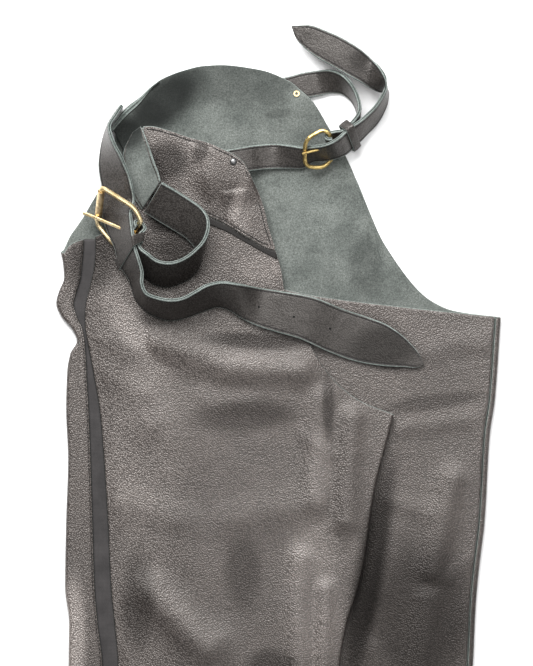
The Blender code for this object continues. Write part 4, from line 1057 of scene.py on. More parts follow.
@dataclass
class Workroom:
    """Makes meshes from grids of points in millimetres and dresses them."""

    finishes: dict[Look, bpy.types.Material] = field(default_factory=dict)

    def finish(self, look: Look) -> bpy.types.Material:
        """The material for a look, made on first use.

        Args:
            look: The look.

        Returns:
            The material.
        """
        if look not in self.finishes:
            self.finishes[look] = FINISHES[look].build()
        return self.finishes[look]

    def make(
        self,
        name: str,
        points: Array,
        faces: list[list[int]] | Array,
        looks: list[Look],
        marks: Array | None = None,
    ) -> Piece:
        """Makes a piece that rides on the garment.

        Args:
            name: The piece's name.
            points: Its points, in millimetres.
            faces: Its faces, as indexes of points.
            looks: Its finishes.
            marks: Each face's finish, as an index of looks.

        Returns:
            The piece.
        """
        mesh = bpy.data.meshes.new(name)
        faces = faces.tolist() if isinstance(faces, Array) else faces
        mesh.from_pydata((points * MM).tolist(), [], faces)
        for look in looks:
            mesh.materials.append(self.finish(look))
        if marks is not None:
            mesh.polygons.foreach_set("material_index", np.asarray(marks, np.int32))
        mesh.shade_smooth()
        mesh.update()
        made = bpy.data.objects.new(name, mesh)
        bpy.context.scene.collection.objects.link(made)
        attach(made, BODY)
        LOG.info("%s: %d faces", name, len(mesh.polygons))
        return made

    @staticmethod
    def normals(grid: Array) -> Array:
        """The unit normal at each point of a grid, rows by columns by three.

        Args:
            grid: The grid of points.

        Returns:
            The normals, laid out as the grid.
        """
        along = np.gradient(grid, axis=0)
        aside = np.gradient(grid, axis=1)
        normal = np.cross(along, aside)
        return normal / np.maximum(np.linalg.norm(normal, axis=2, keepdims=True), 1e-9)

    @staticmethod
    def drawn_in(sheet: Array, inset: float) -> Array:
        """A grid of points with its border drawn in by a little, in millimetres.

        Args:
            sheet: The grid, rows by columns by three.
            inset: How far its border is drawn in.

        Returns:
            The new grid.
        """
        made = sheet.copy()
        for border, inner in (
            ((0,), (1,)),
            ((-1,), (-2,)),
            ((slice(None), 0), (slice(None), 1)),
            ((slice(None), -1), (slice(None), -2)),
        ):
            way = sheet[inner] - sheet[border]
            length = np.maximum(np.linalg.norm(way, axis=-1, keepdims=True), 1e-6)
            made[border] += way / length * np.minimum(inset, 0.45 * length)
        return made

    def sheet(
        self,
        name: str,
        grid: Array,
        thickness: float,
        looks: tuple[Look, ...],
        inset: float = 0.55,
    ) -> Piece:
        """Makes a wall of even thickness with rounded cut edges.

        Args:
            name: The piece's name.
            grid: The wall's middle, rows by columns by three, in millimetres.
            thickness: The wall, in millimetres.
            looks: The finish of the side that the normals point to, the other side and the
                edges, and of the first column's edge where that differs.
            inset: How far the edges are rounded, in millimetres.

        Returns:
            The piece.
        """
        rows, columns = grid.shape[:2]
        half = self.normals(grid) * thickness / 2
        first = self.drawn_in(grid + half, inset)
        second = self.drawn_in(grid - half, inset)
        border = [(0, column) for column in range(columns)]
        border += [(row, columns - 1) for row in range(1, rows)]
        border += [(rows - 1, column) for column in reversed(range(columns - 1))]
        border += [(row, 0) for row in reversed(range(1, rows - 1))]
        at = np.array([row * columns + column for row, column in border])
        flat = grid.reshape(-1, 3)
        count = rows * columns
        points = np.concatenate([first.reshape(-1, 3), second.reshape(-1, 3), flat[at]])
        index = np.arange(count).reshape(rows, columns)
        quads = np.stack([index[:-1, :-1], index[1:, :-1], index[1:, 1:], index[:-1, 1:]], -1)
        quads = quads.reshape(-1, 4)
        after = np.roll(at, -1)
        rim = 2 * count + np.arange(len(at))
        rim_after = np.roll(rim, -1)
        upper = np.stack([at, after, rim_after, rim], -1)
        lower = np.stack([rim, rim_after, after + count, at + count], -1)
        flipped = quads[:, ::-1]
        faces = np.concatenate([flipped, quads + count, upper[:, ::-1], lower[:, ::-1]])
        edges = np.full(len(at), 2)
        edges[len(at) - rows + 1 :] = len(looks) - 1
        marks = np.concatenate([np.zeros(len(quads)), np.ones(len(quads)), edges, edges])
        made = self.make(name, points, faces, list(looks), marks)
        self.face_out(made)
        return made

    @staticmethod
    def face_out(made: Piece) -> None:
        """Turns a closed piece's faces outward, where they look inward.

        Args:
            made: The piece.
        """
        mesh = made.data
        mesh.calc_loop_triangles()
        corners = np.empty(len(mesh.loop_triangles) * 3, np.int32)
        mesh.loop_triangles.foreach_get("vertices", corners)
        places = np.empty(len(mesh.vertices) * 3, np.float32)
        mesh.vertices.foreach_get("co", places)
        triangles = places.reshape(-1, 3)[corners.reshape(-1, 3)].astype(float)
        volume = np.einsum(
            "ij,ij->i", triangles[:, 0], np.cross(triangles[:, 1], triangles[:, 2])
        ).sum()
        if volume < 0:
            mesh.flip_normals()

    @staticmethod
    def cut_size(grid: Array) -> tuple[tuple[float, float], float]:
        """A sheet's cut: its width and length, and its flat area, in metres.

        Args:
            grid: The sheet's middle, in millimetres.

        Returns:
            The width and length, and the area.
        """
        across = np.linalg.norm(np.diff(grid, axis=1), axis=2).sum(axis=1).max() * MM
        along = np.linalg.norm(np.diff(grid, axis=0), axis=2).sum(axis=0).max() * MM
        a = grid[1:, 1:] - grid[:-1, :-1]
        b = grid[1:, :-1] - grid[:-1, 1:]
        area = np.linalg.norm(np.cross(a, b), axis=2).sum() / 2 * MM * MM
        return (float(across), float(along)), float(area)

    def panel(
        self,
        name: str,
        node: str,
        grid: Array,
        looks: tuple[Look, ...],
    ) -> None:
        """Makes a folded leather panel that stands for a CAD node.

        Args:
            name: The panel's name.
            node: The CAD node.
            grid: Its middle, in millimetres.
            looks: Its finishes, as for a sheet.
        """
        made = self.sheet(name, grid, LAY.leather, looks)
        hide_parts(node)


ROOM = Workroom()


def columns_down(
    shares: Array,
    rows: int,
    left: Edge,
    right: Edge,
    top_of: Edge,
    hem: float,
    height_of: Height,
) -> Array:
    """Points of a panel's columns, each a fixed share of the way between its two sides.

    Args:
        shares: The columns' shares, from 0 at the left side to 1 at the right.
        rows: How many rows to lay from the top to the hem.
        left: The left side across, for a level down.
        right: The right side across, for a level down.
        top_of: The upper edge, for a place across.
        hem: The lower edge, a level down.
        height_of: The height at a place.

    Returns:
        The points, rows by columns by three.
    """
    start = np.zeros_like(shares)
    top = top_of(left(start) + shares * (right(start) - left(start)))
    for _ in range(40):
        top = 0.5 * top + 0.5 * top_of(left(top) + shares * (right(top) - left(top)))
    t = np.linspace(0.0, 1.0, rows)[:, None]
    down = top[None, :] + t * (hem - top[None, :])
    across = left(down) + shares[None, :] * (right(down) - left(down))
    return LAY.place(across, down, height_of(across, down))


@dataclass(frozen=True)
class Fold:
    """A leg's fold: where it runs down the leg, and the two layers that it joins."""

    table: Table
    low_of: Height
    high_of: Height
    side: int
    tail: float = 2.0

    def edge(self, down: Array) -> Array:
        """The fold's place across."""
        return read_soft(self.table, down)

    def start(self, down: Array) -> Array:
        """The place across where the flat part of a panel meets the fold."""
        edge = self.edge(down)
        return edge - self.side * ((self.high_of(edge, down) - self.low_of(edge, down)) / 2)

    def columns(self, angles: Array, tops: Array, rows: int, hem: float) -> Array:
        """Points of the columns that go round the fold.

        Args:
            angles: The turns, 0 under the fold and pi over it; past either, the wall runs
                straight on.
            tops: Each column's upper end, a level down.
            rows: How many rows to lay.
            hem: The lower edge, a level down.

        Returns:
            The points, rows by columns by three.
        """
        t = np.linspace(0.0, 1.0, rows)[:, None]
        down = tops[None, :] + t * (hem - tops[None, :])
        edge = self.edge(down)
        low, high = self.low_of(edge, down), self.high_of(edge, down)
        radius = (high - low) / 2
        turn = np.clip(angles, 0.0, np.pi)[None, :]
        past = np.where((angles < 0.0) | (angles > np.pi + 0.01), self.tail, 0.0)[None, :]
        across = edge - self.side * (radius * (1 - np.sin(turn)) + past)
        return LAY.place(across, down, (low + high) / 2 - radius * np.cos(turn))


def wrinkles(across: Array, down: Array, seed: int, size: float, high: float) -> Array:
    """Small soft wrinkles and swells that only rise.

    Args:
        across: Places across, in millimetres.
        down: Places down, in millimetres.
        seed: The pattern's number.
        size: The distance from one swell to the next, in millimetres.
        high: Their height, in millimetres.

    Returns:
        The height at each place, in millimetres.
    """
    broad = lattice_noise(across, down * 0.8, size, seed)
    bent = size * 0.35
    fine_x = across + bent * lattice_noise(across, down, size, seed + 1)
    fine_y = down + bent * lattice_noise(across, down, size, seed + 2)
    fine = lattice_noise(fine_x, fine_y, size * 0.42, seed + 3)
    crease = 1.0 - np.minimum(np.abs(fine) * 3.0, 1.0)
    return high * (0.5 + 0.5 * broad) + 0.22 * high * crease * crease


# A panel's looks: the side that faces up first, its other side, its cut edges, and the edge
# that is turned in beside its zip.
TURNED_UP = (Look.GRAIN, Look.SUEDE, Look.EDGE, Look.PLY_LINE)
TURNED_DOWN = (Look.SUEDE, Look.GRAIN, Look.EDGE, Look.PLY_LINE)


@dataclass
class Leg:
    """A folded leg: its inner-leg fold, its outer fold, and how finely it is laid."""

    inner: Fold
    outer: Fold
    hem: float
    front_columns: int
    front_rows: int
    back_rows: int
    surface_swell: float
    fold_steps: int = 7
    seam_gap: float = 0.8

    def under_seam(self, down: Array) -> Array:
        """The side of a back, which ends just short of the front that curls round to it."""
        return self.inner.start(down) - self.inner.tail - self.seam_gap

    def build(self) -> None:
        """Builds both panels."""
        self.build_front()
        self.build_back()


@dataclass
class LegA(Leg):
    """The upper leg: its front, and its back, which comes round the outer fold to the zip."""

    inner: Fold = Fold(INSEAM_A, LAY.back_a, LAY.front_a, 1)
    outer: Fold = Fold(OUTSEAM_A, LAY.back_a, LAY.strip_a, -1)
    hem: float = LAY.hem_a
    front_columns: int = 112
    front_rows: int = 330
    back_rows: int = 260
    surface_swell: float = 1.1
    side_fade: float = 14.0
    belt_start: float = 300.0
    belt_fade: float = 60.0
    strip_top: float = 250.0

    def relief(self, across: Array, down: Array) -> Array:
        """The finer folds of the front, faded out under the belt and at the edges.

        Args:
            across: Places across.
            down: Places down.

        Returns:
            The height at each place.
        """
        fine = ridge_height(CREASES_A, across, down, 4.0)
        fine = fine + wrinkles(across, down, 21, 46.0, self.surface_swell)
        side = soft_step((across - read(OUTSEAM_A, down, 3)) / self.side_fade)
        fold = soft_step((read(INSEAM_A, down) - across) / self.side_fade)
        below = soft_step((down - self.belt_start) / self.belt_fade)
        strap = soft_step((down - self.belt_start - 0.30 * (across - 150.0)) / self.belt_fade)
        return fine * side * fold * np.minimum(below, strap)

    def build_front(self) -> None:
        """Lays the front, grain up; its right edge curls down round the inner-leg fold."""
        flat = columns_down(
            np.linspace(0.0, 1.0, self.front_columns),
            self.front_rows,
            outline(OUTSEAM_A, 3),
            self.inner.start,
            outline(WAIST_A),
            self.hem,
            lambda x, y: LAY.front_a(x, y) + self.relief(x, y),
        )
        angles = np.append(np.linspace(np.pi, 0.0, self.fold_steps)[1:], -1.0)
        tops = np.full(len(angles), WAIST_A[-1][1])
        fold = self.inner.columns(angles, tops, self.front_rows, self.hem)
        grid = np.concatenate([flat, fold], axis=1)
        ROOM.panel("front_of_leg_a", "leg_a_front", grid, TURNED_UP)

    def build_back(self) -> None:
        """Lays the back under the front, round the outer fold and back to the zip."""
        strip = columns_down(
            np.array([1.0, 0.75, 0.5, 0.25]),
            self.back_rows,
            self.outer.start,
            outline(OUTSEAM_A, 2),
            outline(STRIP_TOP_A),
            self.hem,
            LAY.strip_a,
        )
        angles = np.linspace(np.pi, 0.0, self.fold_steps)
        tops = self.strip_top + 3.0 * angles / np.pi
        fold = self.outer.columns(angles, tops, self.back_rows, self.hem)
        under = columns_down(
            np.concatenate([np.linspace(0.02, 0.3, 22), np.linspace(0.33, 1.0, 16)]),
            self.back_rows,
            self.outer.start,
            self.under_seam,
            outline(BACK_TOP_A),
            self.hem,
            LAY.back_a,
        )
        grid = np.concatenate([strip, fold, under], axis=1)
        ROOM.panel("back_of_leg_a", "leg_a_back", grid, TURNED_DOWN)


@dataclass
class LegB(Leg):
    """The lower leg: its front, inside up, and its back, grain up, folded over it."""

    inner: Fold = Fold(INSEAM_B, LAY.front_b, LAY.back_b, 1)
    outer: Fold = Fold(OUTSEAM_B, LAY.front_b, LAY.back_b, -1)
    hem: float = LAY.hem_b
    front_columns: int = 120
    front_rows: int = 270
    back_rows: int = 270
    surface_swell: float = 1.0
    back_columns: int = 96
    strip_top: float = 209.0
    inside_swell: float = 0.8
    front_strap: tuple[float, float, float] = (225.0, 352.0, 158.0)
    front_strap_fade: float = 20.0
    leg_a_corner: float = 284.0

    def inside_relief(self, across: Array, down: Array) -> Array:
        """The creases of the inside where it shows, gone where the legs lie on it.

        Args:
            across: Places across.
            down: Places down.

        Returns:
            The height at each place.
        """
        shown = soft_step((read(BACK_TOP_B, across) - down - 4.0) / 20.0)
        shown = shown * soft_step((down - read(WAIST_B, across)) / 12.0)
        left = read(WAIST_A, across) - down
        beside = across < self.leg_a_corner
        shown = shown * np.where(beside, soft_step((left - 2.0) / 14.0), 1.0)
        start, end, middle = self.front_strap
        under = np.exp(-(((down - middle) / self.front_strap_fade) ** 2))
        strap = 1.0 - under * (across > start) * (across < end)
        relief = ridge_height(CREASES_SUEDE, across, down, 5.0)
        relief = relief + wrinkles(across, down, 55, 40.0, self.inside_swell)
        return relief * shown * strap

    def back_relief(self, across: Array, down: Array) -> Array:
        """The finer folds of the back, faded out at its edges and under leg A.

        Args:
            across: Places across.
            down: Places down.

        Returns:
            The height at each place.
        """
        fine = ridge_height(CREASES_B, across, down, 4.0)
        fine = fine + wrinkles(across, down, 71, 52.0, self.surface_swell)
        clear = soft_step((across - read(INSEAM_A, down) - 2.0) / 10.0)
        clear = np.where(down > LAY.hem_a, 1.0, clear)
        high = soft_step((down - read(BACK_TOP_B, across) - 4.0) / 16.0)
        fold = soft_step((read(INSEAM_B, down) - across) / 12.0)
        return fine * clear * high * fold

    def build_front(self) -> None:
        """Lays the front, inside up; its right edge curls up round the inner-leg fold."""
        flat = columns_down(
            np.linspace(0.0, 1.0, self.front_columns),
            self.front_rows,
            outline(OUTSEAM_B, 3),
            self.inner.start,
            outline(WAIST_B),
            self.hem,
            lambda x, y: LAY.front_b(x, y) + self.inside_relief(x, y),
        )
        angles = np.append(np.linspace(0.0, np.pi, self.fold_steps)[1:], 4.0)
        tops = np.full(len(angles), WAIST_B[-1][1])
        fold = self.inner.columns(angles, tops, self.front_rows, self.hem)
        grid = np.concatenate([flat, fold], axis=1)
        made = ROOM.sheet("front_of_leg_b", grid, LAY.leather, TURNED_DOWN)
        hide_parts("leg_b_front")
        plies = WaistPlies().build()

    def build_back(self) -> None:
        """Lays the back, grain up; it curls round the outer fold to the zip below."""
        strip = columns_down(
            np.array([1.0, 0.66, 0.33]),
            self.back_rows,
            self.outer.start,
            outline(OUTSEAM_B, 2),
            lambda x: np.full_like(x, self.strip_top),
            self.hem,
            LAY.front_b,
        )
        angles = np.linspace(0.0, np.pi, self.fold_steps)
        tops = np.full(len(angles), self.strip_top)
        fold = self.outer.columns(angles, tops, self.back_rows, self.hem)
        over = columns_down(
            np.linspace(0.03, 1.0, self.back_columns),
            self.back_rows,
            self.outer.start,
            self.under_seam,
            outline(BACK_TOP_B),
            self.hem,
            lambda x, y: LAY.back_b(x, y) + self.back_relief(x, y),
        )
        grid = np.concatenate([strip, fold, over], axis=1)
        ROOM.panel("back_of_leg_b", "leg_b_back", grid, TURNED_UP)


@dataclass
class Overlays:
    """The yokes on the panels, and the tape of the pocket's zip under leg A's yoke."""

    yoke_reach: tuple[float, float] = (143.5, 275.5)
    yoke_counts: tuple[int, int] = (90, 70)
    pocket_reach: tuple[float, float] = (150.0, 277.0)
    pocket_counts: tuple[int, int] = (60, 6)
    far_reach: tuple[float, float] = (116.0, 351.0)
    far_counts: tuple[int, int] = (120, 24)
    bump_fade: float = 34.0
    edge_fade: float = 8.0
    drag_lines: Table = (
        (226, 196, 231, 224, 5, 0.9), (208, 178, 216, 206, 7, 0.8), (160, 150, 176, 182, 10, 0.9),
    )

    @staticmethod
    def between(
        reach: tuple[float, float],
        counts: tuple[int, int],
        top_of: Edge,
        bottom_of: Edge,
        height_of: Height,
    ) -> Array:
        """Points of a piece between an upper and a lower edge.

        Args:
            reach: Its left and right sides, across.
            counts: How many columns and rows it has.
            top_of: The upper edge for a place across.
            bottom_of: The lower edge for a place across.
            height_of: The height at a place.

        Returns:
            The points, rows by columns by three.
        """
        across = np.linspace(*reach, counts[0])
        top, bottom = top_of(across), bottom_of(across)
        t = np.linspace(0.0, 1.0, counts[1])[:, None]
        down = top[None, :] + t * (bottom - top)[None, :]
        across = np.broadcast_to(across, down.shape)
        return LAY.place(across, down, height_of(across, down))

    def yoke_height(self, across: Array, down: Array) -> Array:
        """The yoke's height, with its soft drag lines.

        Args:
            across: Places across.
            down: Places down.

        Returns:
            The height at each place.
        """
        drag = ridge_height(self.drag_lines, across, down, 2.0)
        soft = replace(LAY, bump_fade=self.bump_fade)
        spread = soft.strap_bump(across, down) - LAY.strap_bump(across, down)
        edge = soft_step((read(YOKE_BOTTOM_A, across) - down) / self.edge_fade)
        edge = edge * soft_step((down - read(WAIST_A, across)) / self.edge_fade)
        drag = drag + spread + wrinkles(across, down, 91, 22.0, 0.5)
        return LAY.yoke_a(across, down) + drag * edge

    @staticmethod
    def pocket_height(across: Array, down: Array) -> Array:
        """The height of the pocket's tape, on leg A's front."""
        return LAY.front_a_flat(across, down) + (LAY.leather + LAY.tape) / 2 + LAY.gap

    @staticmethod
    def far_yoke_height(across: Array, down: Array) -> Array:
        """The height of leg B's yoke, under its front."""
        height = LAY.front_b(across, down) - LAY.leather - LAY.far_yoke_gap
        return height - ridge_height(RIDGES_FAR[1:], across, down)

    def build(self) -> None:
        """Builds the yokes and the pocket's tape."""
        yoke_grid = self.between(
            self.yoke_reach,
            self.yoke_counts,
            lambda x: read_soft(WAIST_A, x) - 1.0,
            outline(YOKE_BOTTOM_A),
            self.yoke_height,
        )
        looks = (Look.GRAIN, Look.SUEDE, Look.EDGE)
        yoke = ROOM.sheet("yoke_of_leg_a", yoke_grid, LAY.leather, looks, 1.3)
        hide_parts("yoke_a")

        grid = self.between(
            self.pocket_reach,
            self.pocket_counts,
            lambda x: np.maximum(read_soft(YOKE_BOTTOM_A, x) + 1.2, read_soft(WAIST_A, x) + 0.5),
            outline(BAND_BOTTOM_A),
            self.pocket_height,
        )
        # The tape's top takes the near-black seam colour: partly the band's own dark colour,
        # partly painted shade for the shadow under the yoke's lower edge.
        looks = (Look.SEAM, Look.STRAP, Look.PLY_LINE)
        made = ROOM.sheet("pocket_tape", grid, LAY.tape, looks, 0.2)
        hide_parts("pocket_zip_a")

        grid = self.between(
            self.far_reach,
            self.far_counts,
            lambda x: read_soft(WAIST_B, x) + 0.5,
            lambda x: np.maximum(read_soft(YOKE_BOTTOM_B, x), read_soft(WAIST_B, x) + 4.0),
            self.far_yoke_height,
        )
        made = ROOM.sheet("yoke_of_leg_b", grid, LAY.leather, (Look.SUEDE, Look.GRAIN, Look.EDGE))
        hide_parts("yoke_b")


@dataclass
class WaistPlies:
    """The plies at leg B's waist, where the belt strap is sewn to its yoke."""

    inner: Table = (
        (114, 134), (122, 126), (132, 117), (141, 108.5), (147, 99), (153, 89.5), (160, 82.5),
    )
    outer: Table = (
        (110.5, 130), (117, 120), (125, 109.5), (133, 102.5), (141, 96.5), (150, 88), (159, 81),
    )
    shares: tuple[float, ...] = (0.62, 0.3)
    step_in: float = 0.06
    rows: int = 60

    def build(self) -> tuple[Piece, ...]:
        """Lays the plies on the inside of leg B, one on another.

        Returns:
            The plies, the lowest first.
        """
        plies = []
        inner = curve_through(np.array(self.inner), self.rows // len(self.inner))
        outer = curve_through(np.array(self.outer), self.rows // len(self.outer))
        for level, share in enumerate(self.shares):
            t = np.linspace(self.step_in, share, 6)[None, :, None]
            flat = outer[:, None, :] * (1 - t) + inner[:, None, :] * t
            across, down = flat[..., 0], flat[..., 1]
            step = (LAY.leather + 0.12) * (level + 1)
            grid = LAY.place(across, down, LAY.front_b(across, down) + step)
            looks = (Look.EDGE, Look.GRAIN, Look.SEAM)
            made = ROOM.sheet(f"waist_ply_{level + 1}", grid[::-1], LAY.leather - 0.1, looks, 0.7)
            plies.append(made)
        return tuple(plies)


@dataclass
class Stitches:
    """Rows of thread stitches."""

    pitch: float = 4.0
    length: float = 3.0
    width: float = 0.75
    rise: float = 0.42

    def row(self, path: Array, ups: Array) -> tuple[Array, Array]:
        """One row of stitches.

        Args:
            path: Points along the row, on the surface, in millimetres.
            ups: The surface's outward way at each point.

        Returns:
            The row's points and faces.
        """
        gaps = np.linalg.norm(np.diff(path, axis=0), axis=1)
        along = np.concatenate([[0.0], np.cumsum(gaps)])
        centres = np.arange(self.pitch * 0.6, along[-1] - self.pitch * 0.4, self.pitch)
        if not len(centres):
            return np.zeros((0, 3)), np.zeros((0, 4), int)

        def at(values: Array, where: Array) -> Array:
            """Values along the row, read at distances."""
            return np.stack([np.interp(where, along, values[:, k]) for k in range(3)], axis=-1)

        half = self.length / 2
        start, end = at(path, centres - half), at(path, centres + half)
        up = at(ups, centres)
        up /= np.linalg.norm(up, axis=1, keepdims=True)
        way = end - start
        way /= np.linalg.norm(way, axis=1, keepdims=True)
        aside = np.cross(way, up)
        sides = 6
        turns = np.arange(sides) * 2 * np.pi / sides
        points = []
        for place, reach in ((0.0, 0.35), (0.18, 0.9), (0.5, 1.0), (0.82, 0.9), (1.0, 0.35)):
            middle = start + (end - start) * place + up * (self.rise * (reach - 0.75))
            ring = (
                middle[:, None, :]
                + aside[:, None, :] * np.cos(turns)[None, :, None] * self.width / 2 * reach
                + up[:, None, :] * np.sin(turns)[None, :, None] * self.rise * reach
            )
            points.append(ring)
        rings = len(points)
        points = np.stack(points, axis=1).reshape(-1, 3)
        faces = ring_faces(rings, sides)
        last = (rings - 1) * sides
        for start_at, order in ((0, 1), (last, -1)):
            cap = [start_at + k for k in range(sides)][::-order]
            faces.append(cap[:4])
            faces.append([cap[0], cap[3], cap[4], cap[5]])
        return points, repeated(faces, len(centres), rings * sides)

    def line(self, path: Array, ups: Array) -> tuple[Array, Array]:
        """The dark line that a row of stitches is sunk in: its points and faces.

        Args:
            path: Points along the row.
            ups: The surface's outward way at each point.

        Returns:
            The line's points and faces.
        """
        way = np.gradient(path, axis=0)
        aside = np.cross(way, ups)
        aside /= np.maximum(np.linalg.norm(aside, axis=1, keepdims=True), 1e-9)
        edge = aside * self.width * 0.6
        points = np.stack([path - edge + ups * 0.03, path + edge + ups * 0.03], axis=1)
        index = np.arange(len(path) * 2).reshape(-1, 2)
        faces = np.stack([index[:-1, 0], index[:-1, 1], index[1:, 1], index[1:, 0]], -1)
        return points.reshape(-1, 3), faces

    def make(
        self, name: str, rows: list[tuple[Array, Array]], slot: str, lined: bool = False
    ) -> Piece:
        """Makes one piece of several rows.

        Args:
            name: The piece's name.
            rows: Each row's points along it and its outward ways.
            slot: A material slot's name; not used.
            lined: Whether each row lies in a dark line.

        Returns:
            The piece.
        """
        all_points, all_faces, marks, count = [], [], [], 0
        for path, ups in rows:
            for mark, maker in enumerate((self.row, self.line)[: 1 + lined]):
                points, faces = maker(path, ups)
                all_points.append(points)
                all_faces.append(faces + count)
                marks += [mark] * len(faces)
                count += len(points)
        points, faces = np.concatenate(all_points), np.concatenate(all_faces)
        made = ROOM.make(name, points, faces, [Look.THREAD, Look.SEAM], np.array(marks))
        return made

    @staticmethod
    def on_panel(path: Array, height_of: Height) -> tuple[Array, Array]:
        """A row laid on a panel's top.

        Args:
            path: Places across and down.
            height_of: The height of the panel's top at a place.

        Returns:
            The row's points and its outward ways.
        """
        steps = []
        for start, end in zip(path[:-1], path[1:]):
            count = max(2, int(np.hypot(*(end - start)) / 2.0))
            steps.append(start + (end - start) * np.linspace(0, 1, count, endpoint=False)[:, None])
        places = np.concatenate([*steps, path[-1:]])
        points = LAY.place(places[:, 0], places[:, 1], height_of(places[:, 0], places[:, 1]))
        return points, np.tile([0.0, 0.0, 1.0], (len(points), 1))


STITCHES = Stitches()


@dataclass
class Frames:
    """A strap's sections: the upper and the lower edge of each, in the model's frame."""

    high: Array
    low: Array

    @classmethod
    def from_rows(cls, rows: Table, half: float, ground: Height = LAY.top) -> Frames:
        """Sections from a table of upper and lower edges.

        Args:
            rows: The table.
            half: Half the strap's thickness, in millimetres.
            ground: The height of what the strap lies on.

        Returns:
            The sections.
        """
        table = np.array(rows)
        high_x, high_y, low_x, low_y, lift, width = table.T
        flat = np.hypot(high_x - low_x, high_y - low_y)
        stand = LAY.gap + half * np.minimum(flat / width, 1.0) + lift
        low = ground(low_x, low_y) + stand
        high = low + np.sqrt(np.maximum(width * width - flat * flat, 0.0))
        high = np.maximum(high, ground(high_x, high_y) + stand)
        return cls(LAY.place(high_x, high_y, high), LAY.place(low_x, low_y, low))

    def at(self, index: int) -> tuple[Array, Array, Array, Array]:
        """The middle, the run, the way across and the outward way of one section.

        Args:
            index: The section's place in the row.

        Returns:
            The middle and the three ways.
        """
        before, after = max(index - 1, 0), min(index + 1, len(self.high) - 1)
        run = (self.high[after] + self.low[after] - self.high[before] - self.low[before]) / 2
        wide = self.high[index] - self.low[index]
        wide = wide / np.linalg.norm(wide)
        run = run - wide * (run @ wide)
        run = run / np.linalg.norm(run)
        return (self.high[index] + self.low[index]) / 2, run, wide, np.cross(run, wide)

    def with_sections(self, sections: list[tuple[Array, Array]]) -> Frames:
        """These sections with more of them, each an upper and a lower edge, after them.

        Args:
            sections: Each one's upper and lower edge.

        Returns:
            The longer strap.
        """
        high = np.concatenate([self.high, [pair[0] for pair in sections]])
        low = np.concatenate([self.low, [pair[1] for pair in sections]])
        return Frames(high, low)

    def pointed(self, across: float, down: float, share: float = 0.12) -> Frames:
        """These sections drawn in to a point at one place.

        Args:
            across: The point's place across.
            down: The point's place down.
            share: How wide the point is, as a share of the last section.

        Returns:
            The pointed strap.
        """
        middle = (self.high[-1] + self.low[-1]) / 2
        wide = (self.high[-1] - self.low[-1]) * share / 2
        tip = LAY.place(across, down, middle[2])
        return self.with_sections([(tip + wide, tip - wide)])

    def smoothed(self, steps: int) -> Frames:
        """Sections along a smooth curve through these.

        Args:
            steps: How many steps to take between one section and the next.

        Returns:
            The smooth strap.
        """
        middle = (self.high + self.low) / 2
        curve = curve_through(np.concatenate([middle, self.high - self.low], axis=1), steps)
        return Frames(curve[:, :3] + curve[:, 3:] / 2, curve[:, :3] - curve[:, 3:] / 2)

    def ways(self) -> tuple[Array, Array, Array]:
        """Each section's middle, unit way across and unit outward way.

        Returns:
            The middles, the ways across and the outward ways.
        """
        middle = (self.high + self.low) / 2
        wide = self.high - self.low
        wide = wide / np.linalg.norm(wide, axis=1, keepdims=True)
        run = np.gradient(middle, axis=0)
        run = run / np.maximum(np.linalg.norm(run, axis=1, keepdims=True), 1e-9)
        out = np.cross(run, wide)
        return middle, wide, out / np.linalg.norm(out, axis=1, keepdims=True)


